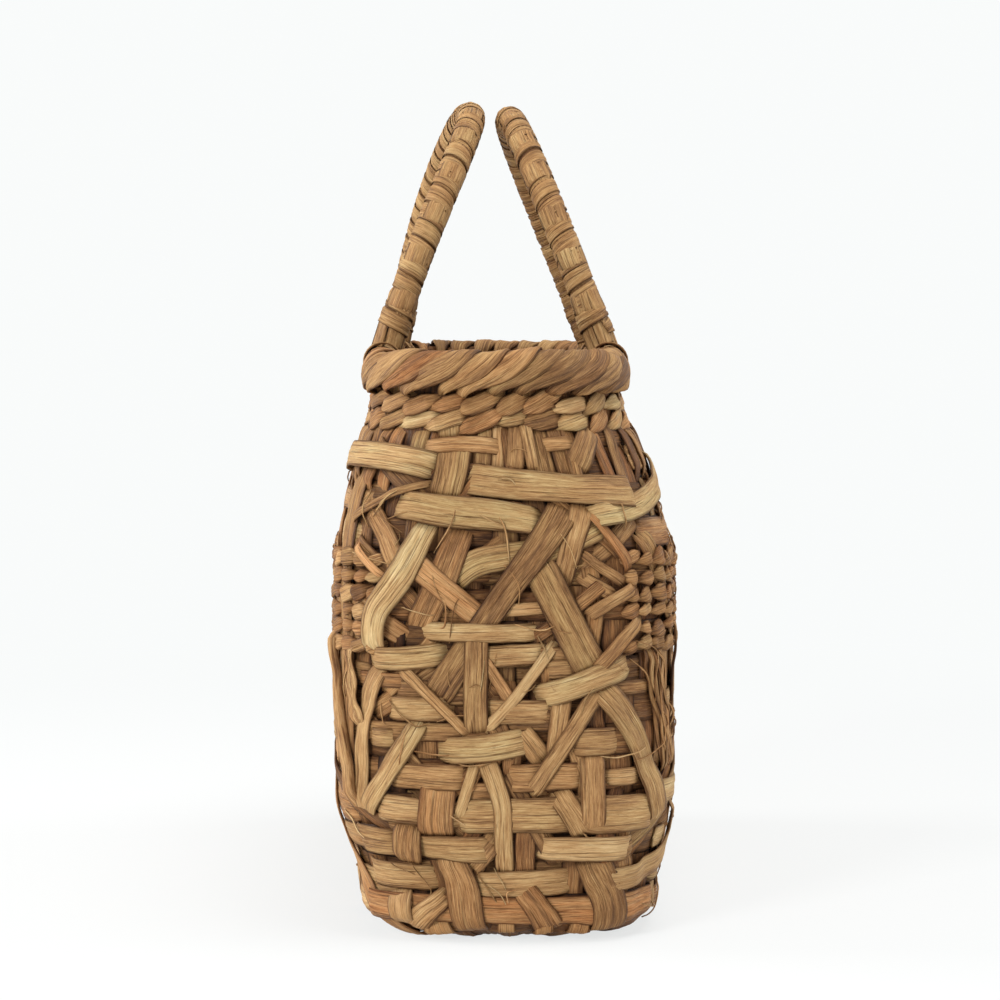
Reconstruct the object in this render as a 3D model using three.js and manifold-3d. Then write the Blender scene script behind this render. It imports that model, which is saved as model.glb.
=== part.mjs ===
// Vine basket bag: a bark basket with two wrapped arch handles, in millimetres.
// +X runs along the bag's width, to the end that is seen in the photograph. -Y is the front, +Z is up.
// The origin is the middle of the underside, on the surface that the bag stands on.
import * as THREE from "three";
import { mergeVertices } from "three/addons/utils/BufferGeometryUtils.js";
import Module from "manifold-3d";

const wasm = await Module();
wasm.setup();

// Clearances between pieces that touch on the real bag
const seat = 0.3; // between two pieces that lie on each other
const lap = 0.8; // under an outer strip, which bends over the edges of the strips below it
const swing = 0.6; // between the rim and a handle loop that turns on it

// Ground weave: the plain inner weave of uprights and weavers, with its base
const groundThickness = 3;
const bellyHalfLength = 158;
const bellyHalfDepth = 69;
const footLengthDraw = 4; // how much shorter each half of the foot is than the belly's
const footDepthDraw = 6.5;
const rimLengthDraw = 12; // the same, of the ground weave under the rim
const rimDepthDraw = 18.5;
const cornerRadius = 28; // in plan
const endBow = 5; // how far each end bows outward in its middle
const sideBow = 3.5;
const footRadius = 14; // where the walls turn under
const baseReach = 5.5; // how far the base goes out under that turn
const footTop = 20; // top of the foot band
const bellyLow = 54; // height where the flanks reach the belly's full size
const shoulder = 85; // height over which the belly draws in to the rim
const footShift = 2.4; // the bag is a little crooked: its foot lies further back than its belly
const rimShift = -3.5; // and its rim further forward

// Rows of the wall, from the foot upward
const footBandLow = 5;
const rowCount = 13;
const rowPitch = 14;
const bandHeight = 10.8;
const bandThickness = 1.4;
const neckBandRow = 7.5; // the thin band under the twining
const lowerTwineRow = 9.3;
const upperTwineRow = 7.2;
const rowGap = 0.8; // between a neck piece and the edge of its row
const twineThickness = 3.8;
const panelTwineThickness = 2.4;

// Rim: a vine hoop in a bark border, open below, where the wall goes up into it
const hoopRadius = 4.4;
const borderThickness = 2.3;
const slotHalfAngle = THREE.MathUtils.degToRad(38);

// Handles
const legSpacing = 150; // between the middles of a handle's two legs, at the rim
const handleHeight = 114.5; // from the rim's centre line to the handle's, along its lean
const topGap = 5; // between the tops of the two handles, at rest
const topMiddle = -3; // where that gap lies, from the rim's middle: the back handle leans in a little more
const frontTwist = 7.5; // how far the arch's near half turns back and its far half forward, at full height
const backTwist = 1.5;
const frontBow = 3; // how far its legs bow outward, half way up
const backBow = 0.5;
const archPower = 2.5; // 2 is an ellipse; more is squarer
const coreRadius = 4.7;
const wrapThickness = 1.3;
const wrapClearance = 0.7; // from the core's corners to the wrap's inner corners
const wrapTurns = 24;
const wrapGap = 0.7; // between two turns
const loopThickness = 1.6;
const loopWidth = 14;

// Outer strips
const stripThickness = 1.4;
const broadStrip = 11;
const narrowStrip = 7.5;

// Facets
const cornerSteps = 4;
const sideSteps = 5;
const endSteps = 3;
const tubeSides = 8;
const borderFacets = 8;
const loopSides = 16;
const wrapSteps = 9; // for each turn
const archSteps = 30;
const archPoints = 160; // that the arch's curve runs through
const stripStep = 9;

// Sizes that follow from those
const neckLow = footTop + rowCount * rowPitch;
const lowerTwineLow = neckLow + neckBandRow;
const upperTwineLow = lowerTwineLow + lowerTwineRow;
const neckTop = upperTwineLow + upperTwineRow;
const borderInner = hoopRadius + seat;
const borderOuter = borderInner + borderThickness;
const loopInner = borderOuter + swing;
const loopOuter = loopInner + loopThickness;
const rimZ = neckTop + seat + loopOuter;
const wallTop = rimZ - hoopRadius - seat;
const wrapInner = coreRadius + wrapClearance;
const wrapOuter = wrapInner + wrapThickness;
const sideLength = 2 * (bellyHalfLength - cornerRadius);
const endLength = 2 * (bellyHalfDepth - cornerRadius);
const cornerLength = (cornerRadius * Math.PI) / 2;
const perimeter = 2 * sideLength + 2 * endLength + 4 * cornerLength;

// Heights of the wall's facets. Each row of the weave lies inside one of them.
const baseEdgeZ = footRadius - Math.sqrt(footRadius ** 2 - baseReach ** 2);
const levels = [baseEdgeZ, footBandLow];
for (let row = 0; row <= rowCount; row++) levels.push(footTop + row * rowPitch);
levels.push(lowerTwineLow, upperTwineLow, neckTop, wallTop);

// Bark and vine, in the colours of the photograph
const bark = (color) => new THREE.MeshStandardMaterial({ color, roughness: 0.75, metalness: 0 });
const groundBark = bark(0x8a6540);
const bandBark = bark(0xb18a58);
const stripBark = bark(0xa67a4c);
const twineBark = bark(0xa17450);
const rimBark = bark(0xa98355);
const wrapBark = bark(0xb08a60);
const vine = bark(0x6e5236);

// What changes from the belly's size or place at a height: the foot's amount low down, the rim's at the top
function byHeight(z, foot, rim) {
  const flank = THREE.MathUtils.smoothstep(z, footTop, bellyLow);
  const neck = THREE.MathUtils.smoothstep(z, rimZ - shoulder, rimZ);
  return foot * (1 - flank) + rim * neck;
}

// How far the wall has turned under at a height
function tuck(z) {
  const turn = Math.max(footRadius - z, 0);
  return footRadius - Math.sqrt(footRadius ** 2 - turn ** 2);
}

// A point of the plan outline. along is the distance round the belly, from the +X end's middle towards +Y.
function planPoint(along, halfLength, halfDepth) {
  const lengths = [endLength / 2, cornerLength, sideLength, cornerLength, endLength];
  lengths.push(cornerLength, sideLength, cornerLength, endLength / 2);
  const straightX = halfLength - cornerRadius;
  const straightY = halfDepth - cornerRadius;
  let rest = THREE.MathUtils.euclideanModulo(along, perimeter);
  let part = 0;
  while (part < lengths.length - 1 && rest > lengths[part]) rest -= lengths[part++];
  const share = rest / lengths[part];
  const arc = (quarter) => {
    const angle = ((quarter + share) * Math.PI) / 2;
    const signX = quarter === 0 || quarter === 3 ? 1 : -1;
    const signY = quarter < 2 ? 1 : -1;
    return [
      signX * straightX + cornerRadius * Math.cos(angle),
      signY * straightY + cornerRadius * Math.sin(angle),
    ];
  };
  const [x, y] = [
    () => [halfLength, share * straightY],
    () => arc(0),
    () => [straightX * (1 - 2 * share), halfDepth],
    () => arc(1),
    () => [-halfLength, straightY * (1 - 2 * share)],
    () => arc(2),
    () => [-straightX * (1 - 2 * share), -halfDepth],
    () => arc(3),
    () => [halfLength, -straightY * (1 - share)],
  ][part]();
  const bowX = endBow * Math.max(0, 1 - (y / halfDepth) ** 2) * Math.sign(x);
  const bowY = sideBow * Math.max(0, 1 - (x / halfLength) ** 2) * Math.sign(y);
  return [x + bowX * (Math.abs(x) / halfLength) ** 4, y + bowY * (Math.abs(y) / halfDepth) ** 4];
}

// A point of the smooth wall, and one of the faceted wall
function smoothWall(along, z) {
  const halfLength = bellyHalfLength - byHeight(z, footLengthDraw, rimLengthDraw) - tuck(z);
  const halfDepth = bellyHalfDepth - byHeight(z, footDepthDraw, rimDepthDraw) - tuck(z);
  const [x, y] = planPoint(along, halfLength - endBow, halfDepth - sideBow);
  return new THREE.Vector3(x, y + byHeight(z, footShift, rimShift), z);
}
function facetedWall(along, z) {
  let k = 0;
  while (k < levels.length - 2 && z > levels[k + 1]) k++;
  const share = (z - levels[k]) / (levels[k + 1] - levels[k]);
  return smoothWall(along, levels[k]).lerp(smoothWall(along, levels[k + 1]), share);
}

// A point that lies out from the ground weave's outer face, square to it
function onWall(along, z, out) {
  const step = 0.5;
  const round = facetedWall(along + step, z).sub(facetedWall(along - step, z));
  const up = facetedWall(along, z + step).sub(facetedWall(along, z - step));
  const normal = round.cross(up).normalize();
  return facetedWall(along, z).addScaledVector(normal, out);
}

// A closed body through a row of sections, each a list of points in the same order
function loft(sections, isRing) {
  const sides = sections[0].length;
  const position = sections.flat().flatMap((p) => [p.x, p.y, p.z]);
  const index = [];
  const spans = isRing ? sections.length : sections.length - 1;
  for (let i = 0; i < spans; i++) {
    const here = i * sides;
    const next = ((i + 1) % sections.length) * sides;
    for (let j = 0; j < sides; j++) {
      const k = (j + 1) % sides;
      index.push(here + j, next + j, next + k, here + j, next + k, here + k);
    }
  }
  if (!isRing) {
    const last = (sections.length - 1) * sides;
    for (let j = 1; j < sides - 1; j++) {
      index.push(0, j, j + 1, last, last + j + 1, last + j);
    }
  }
  const geometry = new THREE.BufferGeometry();
  geometry.setAttribute("position", new THREE.Float32BufferAttribute(position, 3));
  geometry.setIndex(facingOut(sections.flat(), index));
  return geometry;
}

// The same faces, turned round if they face into the body
function facingOut(points, index) {
  let volume = 0;
  for (let i = 0; i < index.length; i += 3) {
    const [a, b, c] = [points[index[i]], points[index[i + 1]], points[index[i + 2]]];
    volume += a.dot(b.clone().cross(c));
  }
  return volume < 0 ? index.toReversed() : index;
}

// Solids for the boolean cuts
function toSolid(geometry) {
  const merged = mergeVertices(geometry.clone().deleteAttribute("normal").deleteAttribute("uv"));
  const vertProperties = merged.attributes.position.array;
  const triVerts = new Uint32Array(merged.index.array);
  return new wasm.Manifold(new wasm.Mesh({ numProp: 3, vertProperties, triVerts }));
}
function toGeometry(solid) {
  const { vertProperties, triVerts } = solid.getMesh();
  const geometry = new THREE.BufferGeometry();
  geometry.setAttribute("position", new THREE.BufferAttribute(vertProperties, 3));
  return geometry.setIndex(new THREE.BufferAttribute(triVerts, 1));
}

// The places round the wall where its facets meet, shared by all the rings
function ringPlaces() {
  const places = [];
  let from = -endLength / 2;
  const stretches = [
    [endLength, endSteps],
    [cornerLength, cornerSteps],
    [sideLength, sideSteps],
    [cornerLength, cornerSteps],
  ];
  for (const [length, steps] of [...stretches, ...stretches]) {
    for (let i = 0; i < steps; i++) places.push(from + (length * i) / steps);
    from += length;
  }
  return places;
}
const places = ringPlaces();

// The places within a distance of one point of the outline, in order
function placesNear(middle, reach) {
  const wholeTurn = (u) => perimeter * Math.round((middle - u) / perimeter);
  return places
    .map((u) => u + wholeTurn(u))
    .filter((u) => Math.abs(u - middle) <= reach)
    .sort((a, b) => a - b);
}

// A flat band round the whole bag, between two heights
function band(low, high, inner, thickness) {
  const outer = inner + thickness;
  const corners = [[low, inner], [low, outer], [high, outer], [high, inner]];
  return loft(places.map((u) => corners.map(([z, out]) => onWall(u, z, out))), true);
}

// A rounded row of twining between two heights, along the given places
function twine(low, high, inner, thickness, along, isRing) {
  const middle = (low + high) / 2;
  const reach = (high - low) / 2;
  const section = (u) =>
    [-150, -90, -30, 30, 90, 150].map((degrees) => {
      const angle = THREE.MathUtils.degToRad(degrees);
      const rise = reach * Math.sin(angle);
      const out = inner + (thickness / 2) * (1 + Math.cos(angle) / Math.cos(Math.PI / 6));
      return onWall(u, middle + rise, out);
    });
  return loft(along.map(section), isRing);
}

// A flat strip on the wall through points given as distance round the bag and height
function strip(points, width, inner) {
  const outer = inner + stripThickness;
  const path = new THREE.CurvePath();
  for (let i = 1; i < points.length; i++) {
    path.add(new THREE.LineCurve(new THREE.Vector2(...points[i - 1]), new THREE.Vector2(...points[i])));
  }
  const steps = Math.max(2, Math.ceil(path.getLength() / stripStep));
  const sections = [];
  for (let i = 0; i <= steps; i++) {
    const at = path.getPointAt(i / steps);
    const next = path.getPointAt(Math.min(1, (i + 0.5) / steps));
    const before = path.getPointAt(Math.max(0, (i - 0.5) / steps));
    const way = next.sub(before).normalize();
    const side = new THREE.Vector2(-way.y, way.x).multiplyScalar(width / 2);
    const corner = (sign, out) => onWall(at.x + sign * side.x, at.y + sign * side.y, out);
    sections.push([corner(-1, inner), corner(1, inner), corner(1, outer), corner(-1, outer)]);
  }
  return loft(sections, false);
}

// The rim's centre line, in the middle of the ground weave's thickness
function rimPoint(along) {
  const point = onWall(along, wallTop, -groundThickness / 2);
  return point.setZ(rimZ);
}
function rimSection(along, radius, angle) {
  const centre = rimPoint(along);
  const way = rimPoint(along + 1).sub(rimPoint(along - 1)).normalize();
  const outward = new THREE.Vector3(way.y, -way.x, 0);
  return centre
    .addScaledVector(outward, radius * Math.sin(angle))
    .add(new THREE.Vector3(0, 0, radius * Math.cos(angle)));
}
function hoop() {
  const angles = Array.from({ length: tubeSides }, (_, i) => ((i + 0.5) * 2 * Math.PI) / tubeSides);
  return loft(places.map((u) => angles.map((angle) => rimSection(u, hoopRadius, angle))), true);
}
function border() {
  const halfFacet = (Math.PI - slotHalfAngle) / borderFacets;
  const arc = Array.from({ length: borderFacets + 1 }, (_, i) => halfFacet * (2 * i - borderFacets));
  const section = (u) => [
    ...arc.map((angle) => rimSection(u, borderOuter, angle)),
    ...arc.toReversed().map((angle) => rimSection(u, borderInner / Math.cos(halfFacet), angle)),
  ];
  return loft(places.map(section), true);
}

// The middle of a long side, and the distance round the bag to one leg of a handle from there
const sideMiddle = endLength / 2 + cornerLength + sideLength / 2;
const straightAtRim = bellyHalfLength - rimLengthDraw - endBow - cornerRadius;
const legAlong = ((legSpacing / 2) * sideLength) / (2 * straightAtRim);
const pivotY = rimPoint(sideMiddle + legAlong).y - rimShift; // from the rim's own middle

// The wall: one closed tube, notched at its top where the four handle loops pass under the rim
function wall() {
  const inside = levels.map((z) => places.map((u) => onWall(u, z, -groundThickness)));
  const outside = levels.map((z) => places.map((u) => onWall(u, z, 0)));
  const sections = places.map((_, i) => [
    ...outside.map((ring) => ring[i]),
    ...inside.map((ring) => ring[i]).toReversed(),
  ]);
  let solid = toSolid(loft(sections, true));
  const notch = new THREE.CylinderGeometry(loopOuter + seat, loopOuter + seat, loopWidth + 1, loopSides);
  notch.rotateZ(Math.PI / 2);
  for (const x of [-legSpacing / 2, legSpacing / 2]) {
    for (const y of [rimShift - pivotY, rimShift + pivotY]) {
      solid = solid.subtract(toSolid(notch.clone().translate(x, y, rimZ)));
    }
  }
  return toGeometry(solid);
}

// The base: a flat plate inside the wall's lower edge
function base() {
  const outline = new THREE.Shape();
  const edge = places.map((u) => onWall(u, levels[0], -groundThickness));
  edge.forEach((p, i) => {
    const before = edge.at(i - 1);
    const after = edge[(i + 1) % edge.length];
    const way = new THREE.Vector2(after.x - before.x, after.y - before.y).normalize();
    const x = p.x - way.y * seat;
    const y = p.y + way.x * seat;
    if (i === 0) outline.moveTo(x, y);
    else outline.lineTo(x, y);
  });
  outline.closePath();
  return new THREE.ExtrudeGeometry(outline, { depth: groundThickness, bevelEnabled: false });
}

// A handle's arch, upright, from its far leg over to its near one
function archPoint(share, twist, bow) {
  const rootAngle = Math.asin(((loopOuter + seat) / handleHeight) ** (archPower / 2));
  const angle = rootAngle + (Math.PI - 2 * rootAngle) * share;
  const across = -Math.sign(Math.cos(angle)) * Math.abs(Math.cos(angle)) ** (2 / archPower);
  const up = Math.sin(angle) ** (2 / archPower);
  const out = twist * across * up + 4 * bow * up * (1 - up);
  return new THREE.Vector3((across * legSpacing) / 2, out, handleHeight * up);
}
function makeArch(twist, bow) {
  const points = Array.from({ length: archPoints + 1 }, (_, i) => archPoint(i / archPoints, twist, bow));
  const arch = new THREE.CatmullRomCurve3(points);
  arch.arcLengthDivisions = 600;
  return arch;
}

// A point round the arch, at a distance along it, an angle and a radius
function roundArch(arch, distance, angle, radius) {
  const share = THREE.MathUtils.clamp(distance / arch.getLength(), 0, 1);
  const way = arch.getTangentAt(share);
  const up = new THREE.Vector3(0, 1, 0).cross(way).normalize();
  const flat = way.clone().cross(up);
  return arch
    .getPointAt(share)
    .addScaledVector(flat, radius * Math.cos(angle))
    .addScaledVector(up, radius * Math.sin(angle));
}
function core(arch) {
  const sections = [];
  for (let i = 0; i <= archSteps; i++) {
    const distance = (arch.getLength() * i) / archSteps;
    const ring = Array.from({ length: tubeSides }, (_, j) => {
      return roundArch(arch, distance, (2 * Math.PI * j) / tubeSides, coreRadius);
    });
    sections.push(ring);
  }
  return loft(sections, false);
}

// The bark strip wound round the core, one unbroken ribbon from root to root
function wrapCorner(arch, turn, side, radius) {
  const pitch = (arch.getLength() - 2 * seat) / (wrapTurns + 1);
  const middle = seat + pitch / 2 + turn * pitch;
  return roundArch(arch, middle + (side * (pitch - wrapGap)) / 2, 2 * Math.PI * turn, radius);
}
function wrap(arch) {
  const sections = [];
  for (let i = 0; i <= wrapTurns * wrapSteps; i++) {
    const turn = i / wrapSteps;
    const corners = [[-1, wrapInner], [1, wrapInner], [1, wrapOuter], [-1, wrapOuter]];
    sections.push(corners.map(([side, radius]) => wrapCorner(arch, turn, side, radius)));
  }
  return loft(sections, false);
}
function leastWrapGap(arch) {
  let least = Infinity;
  for (let i = 0; i <= (wrapTurns - 1) * wrapSteps; i++) {
    for (const radius of [wrapInner, wrapOuter]) {
      const edge = wrapCorner(arch, i / wrapSteps, 1, radius);
      least = Math.min(least, edge.distanceTo(wrapCorner(arch, i / wrapSteps + 1, -1, radius)));
    }
  }
  return least;
}

// The loop at a handle's root, which goes round the rim and turns on it
function rootLoop() {
  const profile = [
    [loopInner, -loopWidth / 2],
    [loopOuter, -loopWidth / 2],
    [loopOuter, loopWidth / 2],
    [loopInner, loopWidth / 2],
    [loopInner, -loopWidth / 2],
  ];
  const geometry = new THREE.LatheGeometry(
    profile.map(([radius, x]) => new THREE.Vector2(radius, x)),
    loopSides,
  );
  return geometry.rotateZ(Math.PI / 2);
}

const bag = new THREE.Group();
function add(name, geometry, material, parent = bag) {
  const mesh = new THREE.Mesh(geometry, material);
  mesh.name = name;
  parent.add(mesh);
  return mesh;
}

// Body
add("ground_wall", wall(), groundBark);
add("ground_base", base(), groundBark);
const bandInset = (rowPitch - bandHeight) / 2;
add("band_foot", band(footBandLow + rowGap, footTop - rowGap, seat, bandThickness), bandBark);
for (let row = 0; row < rowCount; row++) {
  const low = footTop + row * rowPitch + bandInset;
  const number = String(row + 1).padStart(2, "0");
  add(`band_${number}`, band(low, low + bandHeight, seat, bandThickness), bandBark);
}
add("band_neck", band(neckLow + rowGap, lowerTwineLow - rowGap, seat, bandThickness), bandBark);
const twineRows = { lower: [lowerTwineLow, upperTwineLow], upper: [upperTwineLow, neckTop] };
for (const [name, [low, high]] of Object.entries(twineRows)) {
  const row = twine(low + rowGap / 2, high - rowGap / 2, seat, twineThickness, places, true);
  add(`twine_row_${name}`, row, twineBark);
}
add("rim_hoop", hoop(), vine);
add("rim_border", border(), rimBark);

// Outer strips of each face: name, layer, width and points. A point is a share of the way from the face's
// middle to its edge, then of the way from the foot to the neck. Layer 1 passes over layer 0.
const layerInner = [0, 1].map((k) => seat + bandThickness + lap + k * (stripThickness + lap));
const endStrips = [
  ["diagonal_long", 1, broadStrip, [[0.34, 0.89], [0.02, 0.67], [-0.29, 0.46]]],
  ["diagonal_broad", 0, broadStrip, [[0.14, 0.76], [0.38, 0.6], [0.54, 0.44]]],
  ["diagonal_corner", 0, broadStrip, [[0.55, 0.4], [0.66, 0.22], [0.73, 0.06]]],
  ["diagonal_pale", 0, broadStrip, [[-0.34, 0.86], [-0.42, 0.73], [-0.59, 0.56]]],
  ["diagonal_thin", 0, narrowStrip, [[0.24, 0.56], [0.07, 0.4], [-0.16, 0.19]]],
  ["diagonal_cross", 1, narrowStrip, [[0.65, 0.61], [0.4, 0.45], [0.11, 0.23]]],
  ["upright_left", 0, narrowStrip, [[-0.68, 0.51], [-0.68, 0.33], [-0.65, 0.11]]],
  ["upright_middle", 0, narrowStrip, [[0.05, 0.23], [0.05, 0.14], [0.02, 0.02]]],
];
const sideStrips = [
  ["diagonal_a", 0, broadStrip, [[-0.8, 0.48], [-0.55, 0.24], [-0.4, 0.06]]],
  ["diagonal_b", 0, broadStrip, [[0.8, 0.48], [0.55, 0.24], [0.4, 0.06]]],
  ["diagonal_c", 1, broadStrip, [[-0.66, 0.09], [-0.22, 0.25], [0.26, 0.46]]],
  ["upright_a", 0, broadStrip, [[-0.05, 0.48], [-0.02, 0.28], [-0.05, 0.04]]],
];
const endReach = endLength / 2 + cornerLength;
const faces = [
  { name: "end_near", middle: 0, reach: endReach, strips: endStrips },
  { name: "side_back", middle: sideMiddle, reach: sideLength / 2, strips: sideStrips },
  { name: "end_far", middle: perimeter / 2, reach: endReach, strips: endStrips },
  { name: "side_front", middle: -sideMiddle, reach: sideLength / 2, strips: sideStrips },
];
for (const face of faces) {
  for (const [name, layer, width, points] of face.strips) {
    const path = points.map(([across, up]) => {
      return [face.middle + across * face.reach, footTop + up * (neckLow - footTop)];
    });
    add(`${name}_${face.name}`, strip(path, width, layerInner[layer]), stripBark);
  }
}

// Twined rows across the middle of each long side
const panelRows = 3;
const panelFirstRow = 7; // how many band rows lie below them
const panelRowHeight = 11;
for (const [side, middle] of [["back", sideMiddle], ["front", -sideMiddle]]) {
  const along = placesNear(middle, sideLength / 2 + seat);
  for (let row = 0; row < panelRows; row++) {
    const low = footTop + (panelFirstRow + row) * rowPitch + (rowPitch - panelRowHeight) / 2;
    const high = low + panelRowHeight;
    const rowSolid = twine(low, high, layerInner[0], panelTwineThickness, along, false);
    add(`twine_panel_${side}_${row + 1}`, rowSolid, twineBark);
  }
}

// Handles: each turns with its loops about the rim's centre line
const handles = [
  { side: "front", sign: -1, twist: frontTwist, bow: frontBow },
  { side: "back", sign: 1, twist: backTwist, bow: backBow },
];
for (const { side, sign, twist, bow } of handles) {
  const arch = makeArch(twist, sign * bow);
  const lean = Math.asin((pivotY - topGap / 2 - wrapOuter - sign * topMiddle) / handleHeight);
  console.log(`least gap between two turns of the ${side} wrap: ${leastWrapGap(arch).toFixed(2)} mm`);
  const handle = new THREE.Group();
  handle.position.set(0, rimShift + sign * pivotY, rimZ);
  handle.rotation.x = sign * lean;
  bag.add(handle);
  add(`handle_core_${side}`, core(arch), vine, handle);
  add(`handle_wrap_${side}`, wrap(arch), wrapBark, handle);
  for (const [end, x] of [["near", legSpacing / 2], ["far", -legSpacing / 2]]) {
    add(`handle_loop_${side}_${end}`, rootLoop(), wrapBark, handle).position.x = x;
  }
}

export default bag;
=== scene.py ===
"""Looks of the vine basket bag: bark strips, twining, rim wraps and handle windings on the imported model."""

import math

import bpy
import numpy as np
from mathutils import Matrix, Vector


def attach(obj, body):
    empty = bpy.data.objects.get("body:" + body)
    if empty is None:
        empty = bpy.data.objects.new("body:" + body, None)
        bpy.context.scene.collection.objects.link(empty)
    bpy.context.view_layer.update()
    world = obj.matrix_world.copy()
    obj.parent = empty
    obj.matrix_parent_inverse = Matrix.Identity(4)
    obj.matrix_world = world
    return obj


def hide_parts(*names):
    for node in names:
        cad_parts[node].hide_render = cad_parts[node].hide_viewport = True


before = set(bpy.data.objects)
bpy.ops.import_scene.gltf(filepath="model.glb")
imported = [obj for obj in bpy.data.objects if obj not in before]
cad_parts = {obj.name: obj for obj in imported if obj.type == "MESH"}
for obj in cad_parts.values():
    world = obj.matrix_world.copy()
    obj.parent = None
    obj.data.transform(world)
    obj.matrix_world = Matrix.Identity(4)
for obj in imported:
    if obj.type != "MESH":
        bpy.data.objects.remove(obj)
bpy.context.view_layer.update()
rng = np.random.default_rng(11)

# Everything below is in millimetres, in the frame of the CAD, until a mesh is made
MM = 0.001

# The wall's shape, as in the CAD
BELLY_HALF_LENGTH = 158.0
BELLY_HALF_DEPTH = 69.0
FOOT_DRAW = (4.0, 6.5)  # how much shorter than the belly's its half length and half depth are
RIM_DRAW = (12.0, 18.5)
CORNER_RADIUS = 28.0
END_BOW = 5.0
SIDE_BOW = 3.5
FOOT_RADIUS = 14.0
FOOT_TOP = 20.0
BELLY_LOW = 54.0
SHOULDER = 85.0
FOOT_SHIFT = 2.4
RIM_SHIFT = -3.5
ROW_COUNT = 13
ROW_PITCH = 14.0
NECK_LOW = FOOT_TOP + ROW_COUNT * ROW_PITCH
LOWER_TWINE = NECK_LOW + 7.5
UPPER_TWINE = LOWER_TWINE + 9.3
RIM_Z = 235.5
WALL_TOP = 230.8
HALF_END = BELLY_HALF_DEPTH - CORNER_RADIUS
CORNER_LENGTH = CORNER_RADIUS * math.pi / 2
SIDE_MIDDLE = HALF_END + CORNER_LENGTH + BELLY_HALF_LENGTH - CORNER_RADIUS
PERIMETER = 4 * SIDE_MIDDLE

# Handles, as in the CAD
LEG_SPACING = 150.0
HANDLE_HEIGHT = 114.5
ARCH_POWER = 2.5
ROOT_REACH = 9.5  # from the rim's centre line to the arch's ends
PIVOT_Y = 48.215
HANDLES = {
    "front": {"sign": -1, "lean": 18.333, "twist": 7.5, "bow": 3.0},
    "back": {"sign": 1, "lean": 21.527, "twist": 1.5, "bow": 0.5},
}


UP = np.array([0, 0, 1.0])


def smoothstep(z, low, high):
    t = np.clip((z - low) / (high - low), 0, 1)
    return t * t * (3 - 2 * t)


def by_height(z, foot, rim):
    """The foot's amount low down, nothing at the belly, the rim's amount at the top."""
    return foot * (1 - smoothstep(z, FOOT_TOP, BELLY_LOW)) + rim * smoothstep(z, RIM_Z - SHOULDER, RIM_Z)


def profile(s):
    """Height and inward turn of the wall, at a distance s up its profile. It ends level, under the base."""
    turn = np.clip((FOOT_RADIUS - s) / FOOT_RADIUS, 0, math.pi / 2)
    under = np.maximum(FOOT_RADIUS * (1 - math.pi / 2) - s, 0)
    z = np.where(s < FOOT_RADIUS, FOOT_RADIUS * (1 - np.sin(turn)), s)
    return z, FOOT_RADIUS * (1 - np.cos(turn)) + under


def wall_point(u, s):
    """A point of the wall. u runs round the belly from the near end's middle towards +Y, s runs up it."""
    z, tuck = profile(s)
    length = BELLY_HALF_LENGTH - END_BOW - by_height(z, FOOT_DRAW[0], RIM_DRAW[0]) - tuck
    depth = BELLY_HALF_DEPTH - SIDE_BOW - by_height(z, FOOT_DRAW[1], RIM_DRAW[1]) - tuck
    turned = (u + PERIMETER / 2) % PERIMETER - PERIMETER / 2
    away = np.abs(turned)
    is_far = away > PERIMETER / 4
    away = np.where(is_far, PERIMETER / 2 - away, away)
    angle = np.clip((away - HALF_END) / CORNER_LENGTH, 0, 1) * math.pi / 2
    on_side = np.clip((away - HALF_END - CORNER_LENGTH) / (BELLY_HALF_LENGTH - CORNER_RADIUS), 0, 1)
    x = (length - CORNER_RADIUS) * (1 - on_side) + CORNER_RADIUS * np.cos(angle)
    y = (depth - CORNER_RADIUS) * np.clip(away / HALF_END, 0, 1) + CORNER_RADIUS * np.sin(angle)
    bow_x = END_BOW * np.clip(1 - (y / depth) ** 2, 0, 1) * (x / length) ** 4
    bow_y = SIDE_BOW * np.clip(1 - (x / length) ** 2, 0, 1) * (y / depth) ** 4
    x = np.where(is_far, -1, 1) * (x + bow_x)
    y = np.where(turned < 0, -1, 1) * (y + bow_y) + by_height(z, FOOT_SHIFT, RIM_SHIFT)
    return paired(x, y, z)


def unit(v):
    return v / np.maximum(np.linalg.norm(v, axis=-1, keepdims=True), 1e-9)


def blend(a, b, share):
    return a * (1 - share) + b * share


def paired(*values):
    """Arrays as the last axis of one, after broadcasting."""
    return np.stack(np.broadcast_arrays(*values), -1)


SIDE_RUN = 3.0  # how far along the side a place lies that is 1 mm past the corner


def end_place(y, z):
    """The place (u, s) on the near end's wall that the photograph shows y mm right of its middle, z mm up."""
    s = z
    if z < FOOT_RADIUS:
        s = FOOT_RADIUS * (1 - math.asin(1 - z / FOOT_RADIUS))
    straight = BELLY_HALF_DEPTH - SIDE_BOW - float(by_height(z, FOOT_DRAW[1], RIM_DRAW[1])) - CORNER_RADIUS
    off = y - float(by_height(z, FOOT_SHIFT, RIM_SHIFT))
    if abs(off) <= straight:
        return off * HALF_END / straight, s
    beyond = (abs(off) - straight) / CORNER_RADIUS
    along_side = max(beyond - 1, 0) * CORNER_RADIUS * SIDE_RUN
    return math.copysign(HALF_END + CORNER_RADIUS * math.asin(min(beyond, 1)) + along_side, off), s


# Smooth lines and noise
def smooth_line(points, dense=24):
    """A Catmull-Rom curve through points, as many closely spaced points."""
    p = np.asarray(points, float)
    if len(p) == 2:
        return p[0] + (p[1] - p[0]) * np.linspace(0, 1, dense + 1)[:, None]
    p = np.vstack([2 * p[0] - p[1], p, 2 * p[-1] - p[-2]])
    t = np.linspace(0, 1, dense, endpoint=False)[:, None]
    spans = []
    for a, b, c, d in zip(p, p[1:], p[2:], p[3:]):
        square = (2 * a - 5 * b + 4 * c - d) * t**2
        cube = (3 * b - a - 3 * c + d) * t**3
        spans.append(0.5 * (2 * b + (c - a) * t + square + cube))
    return np.vstack([*spans, p[-2:-1]])


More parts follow.
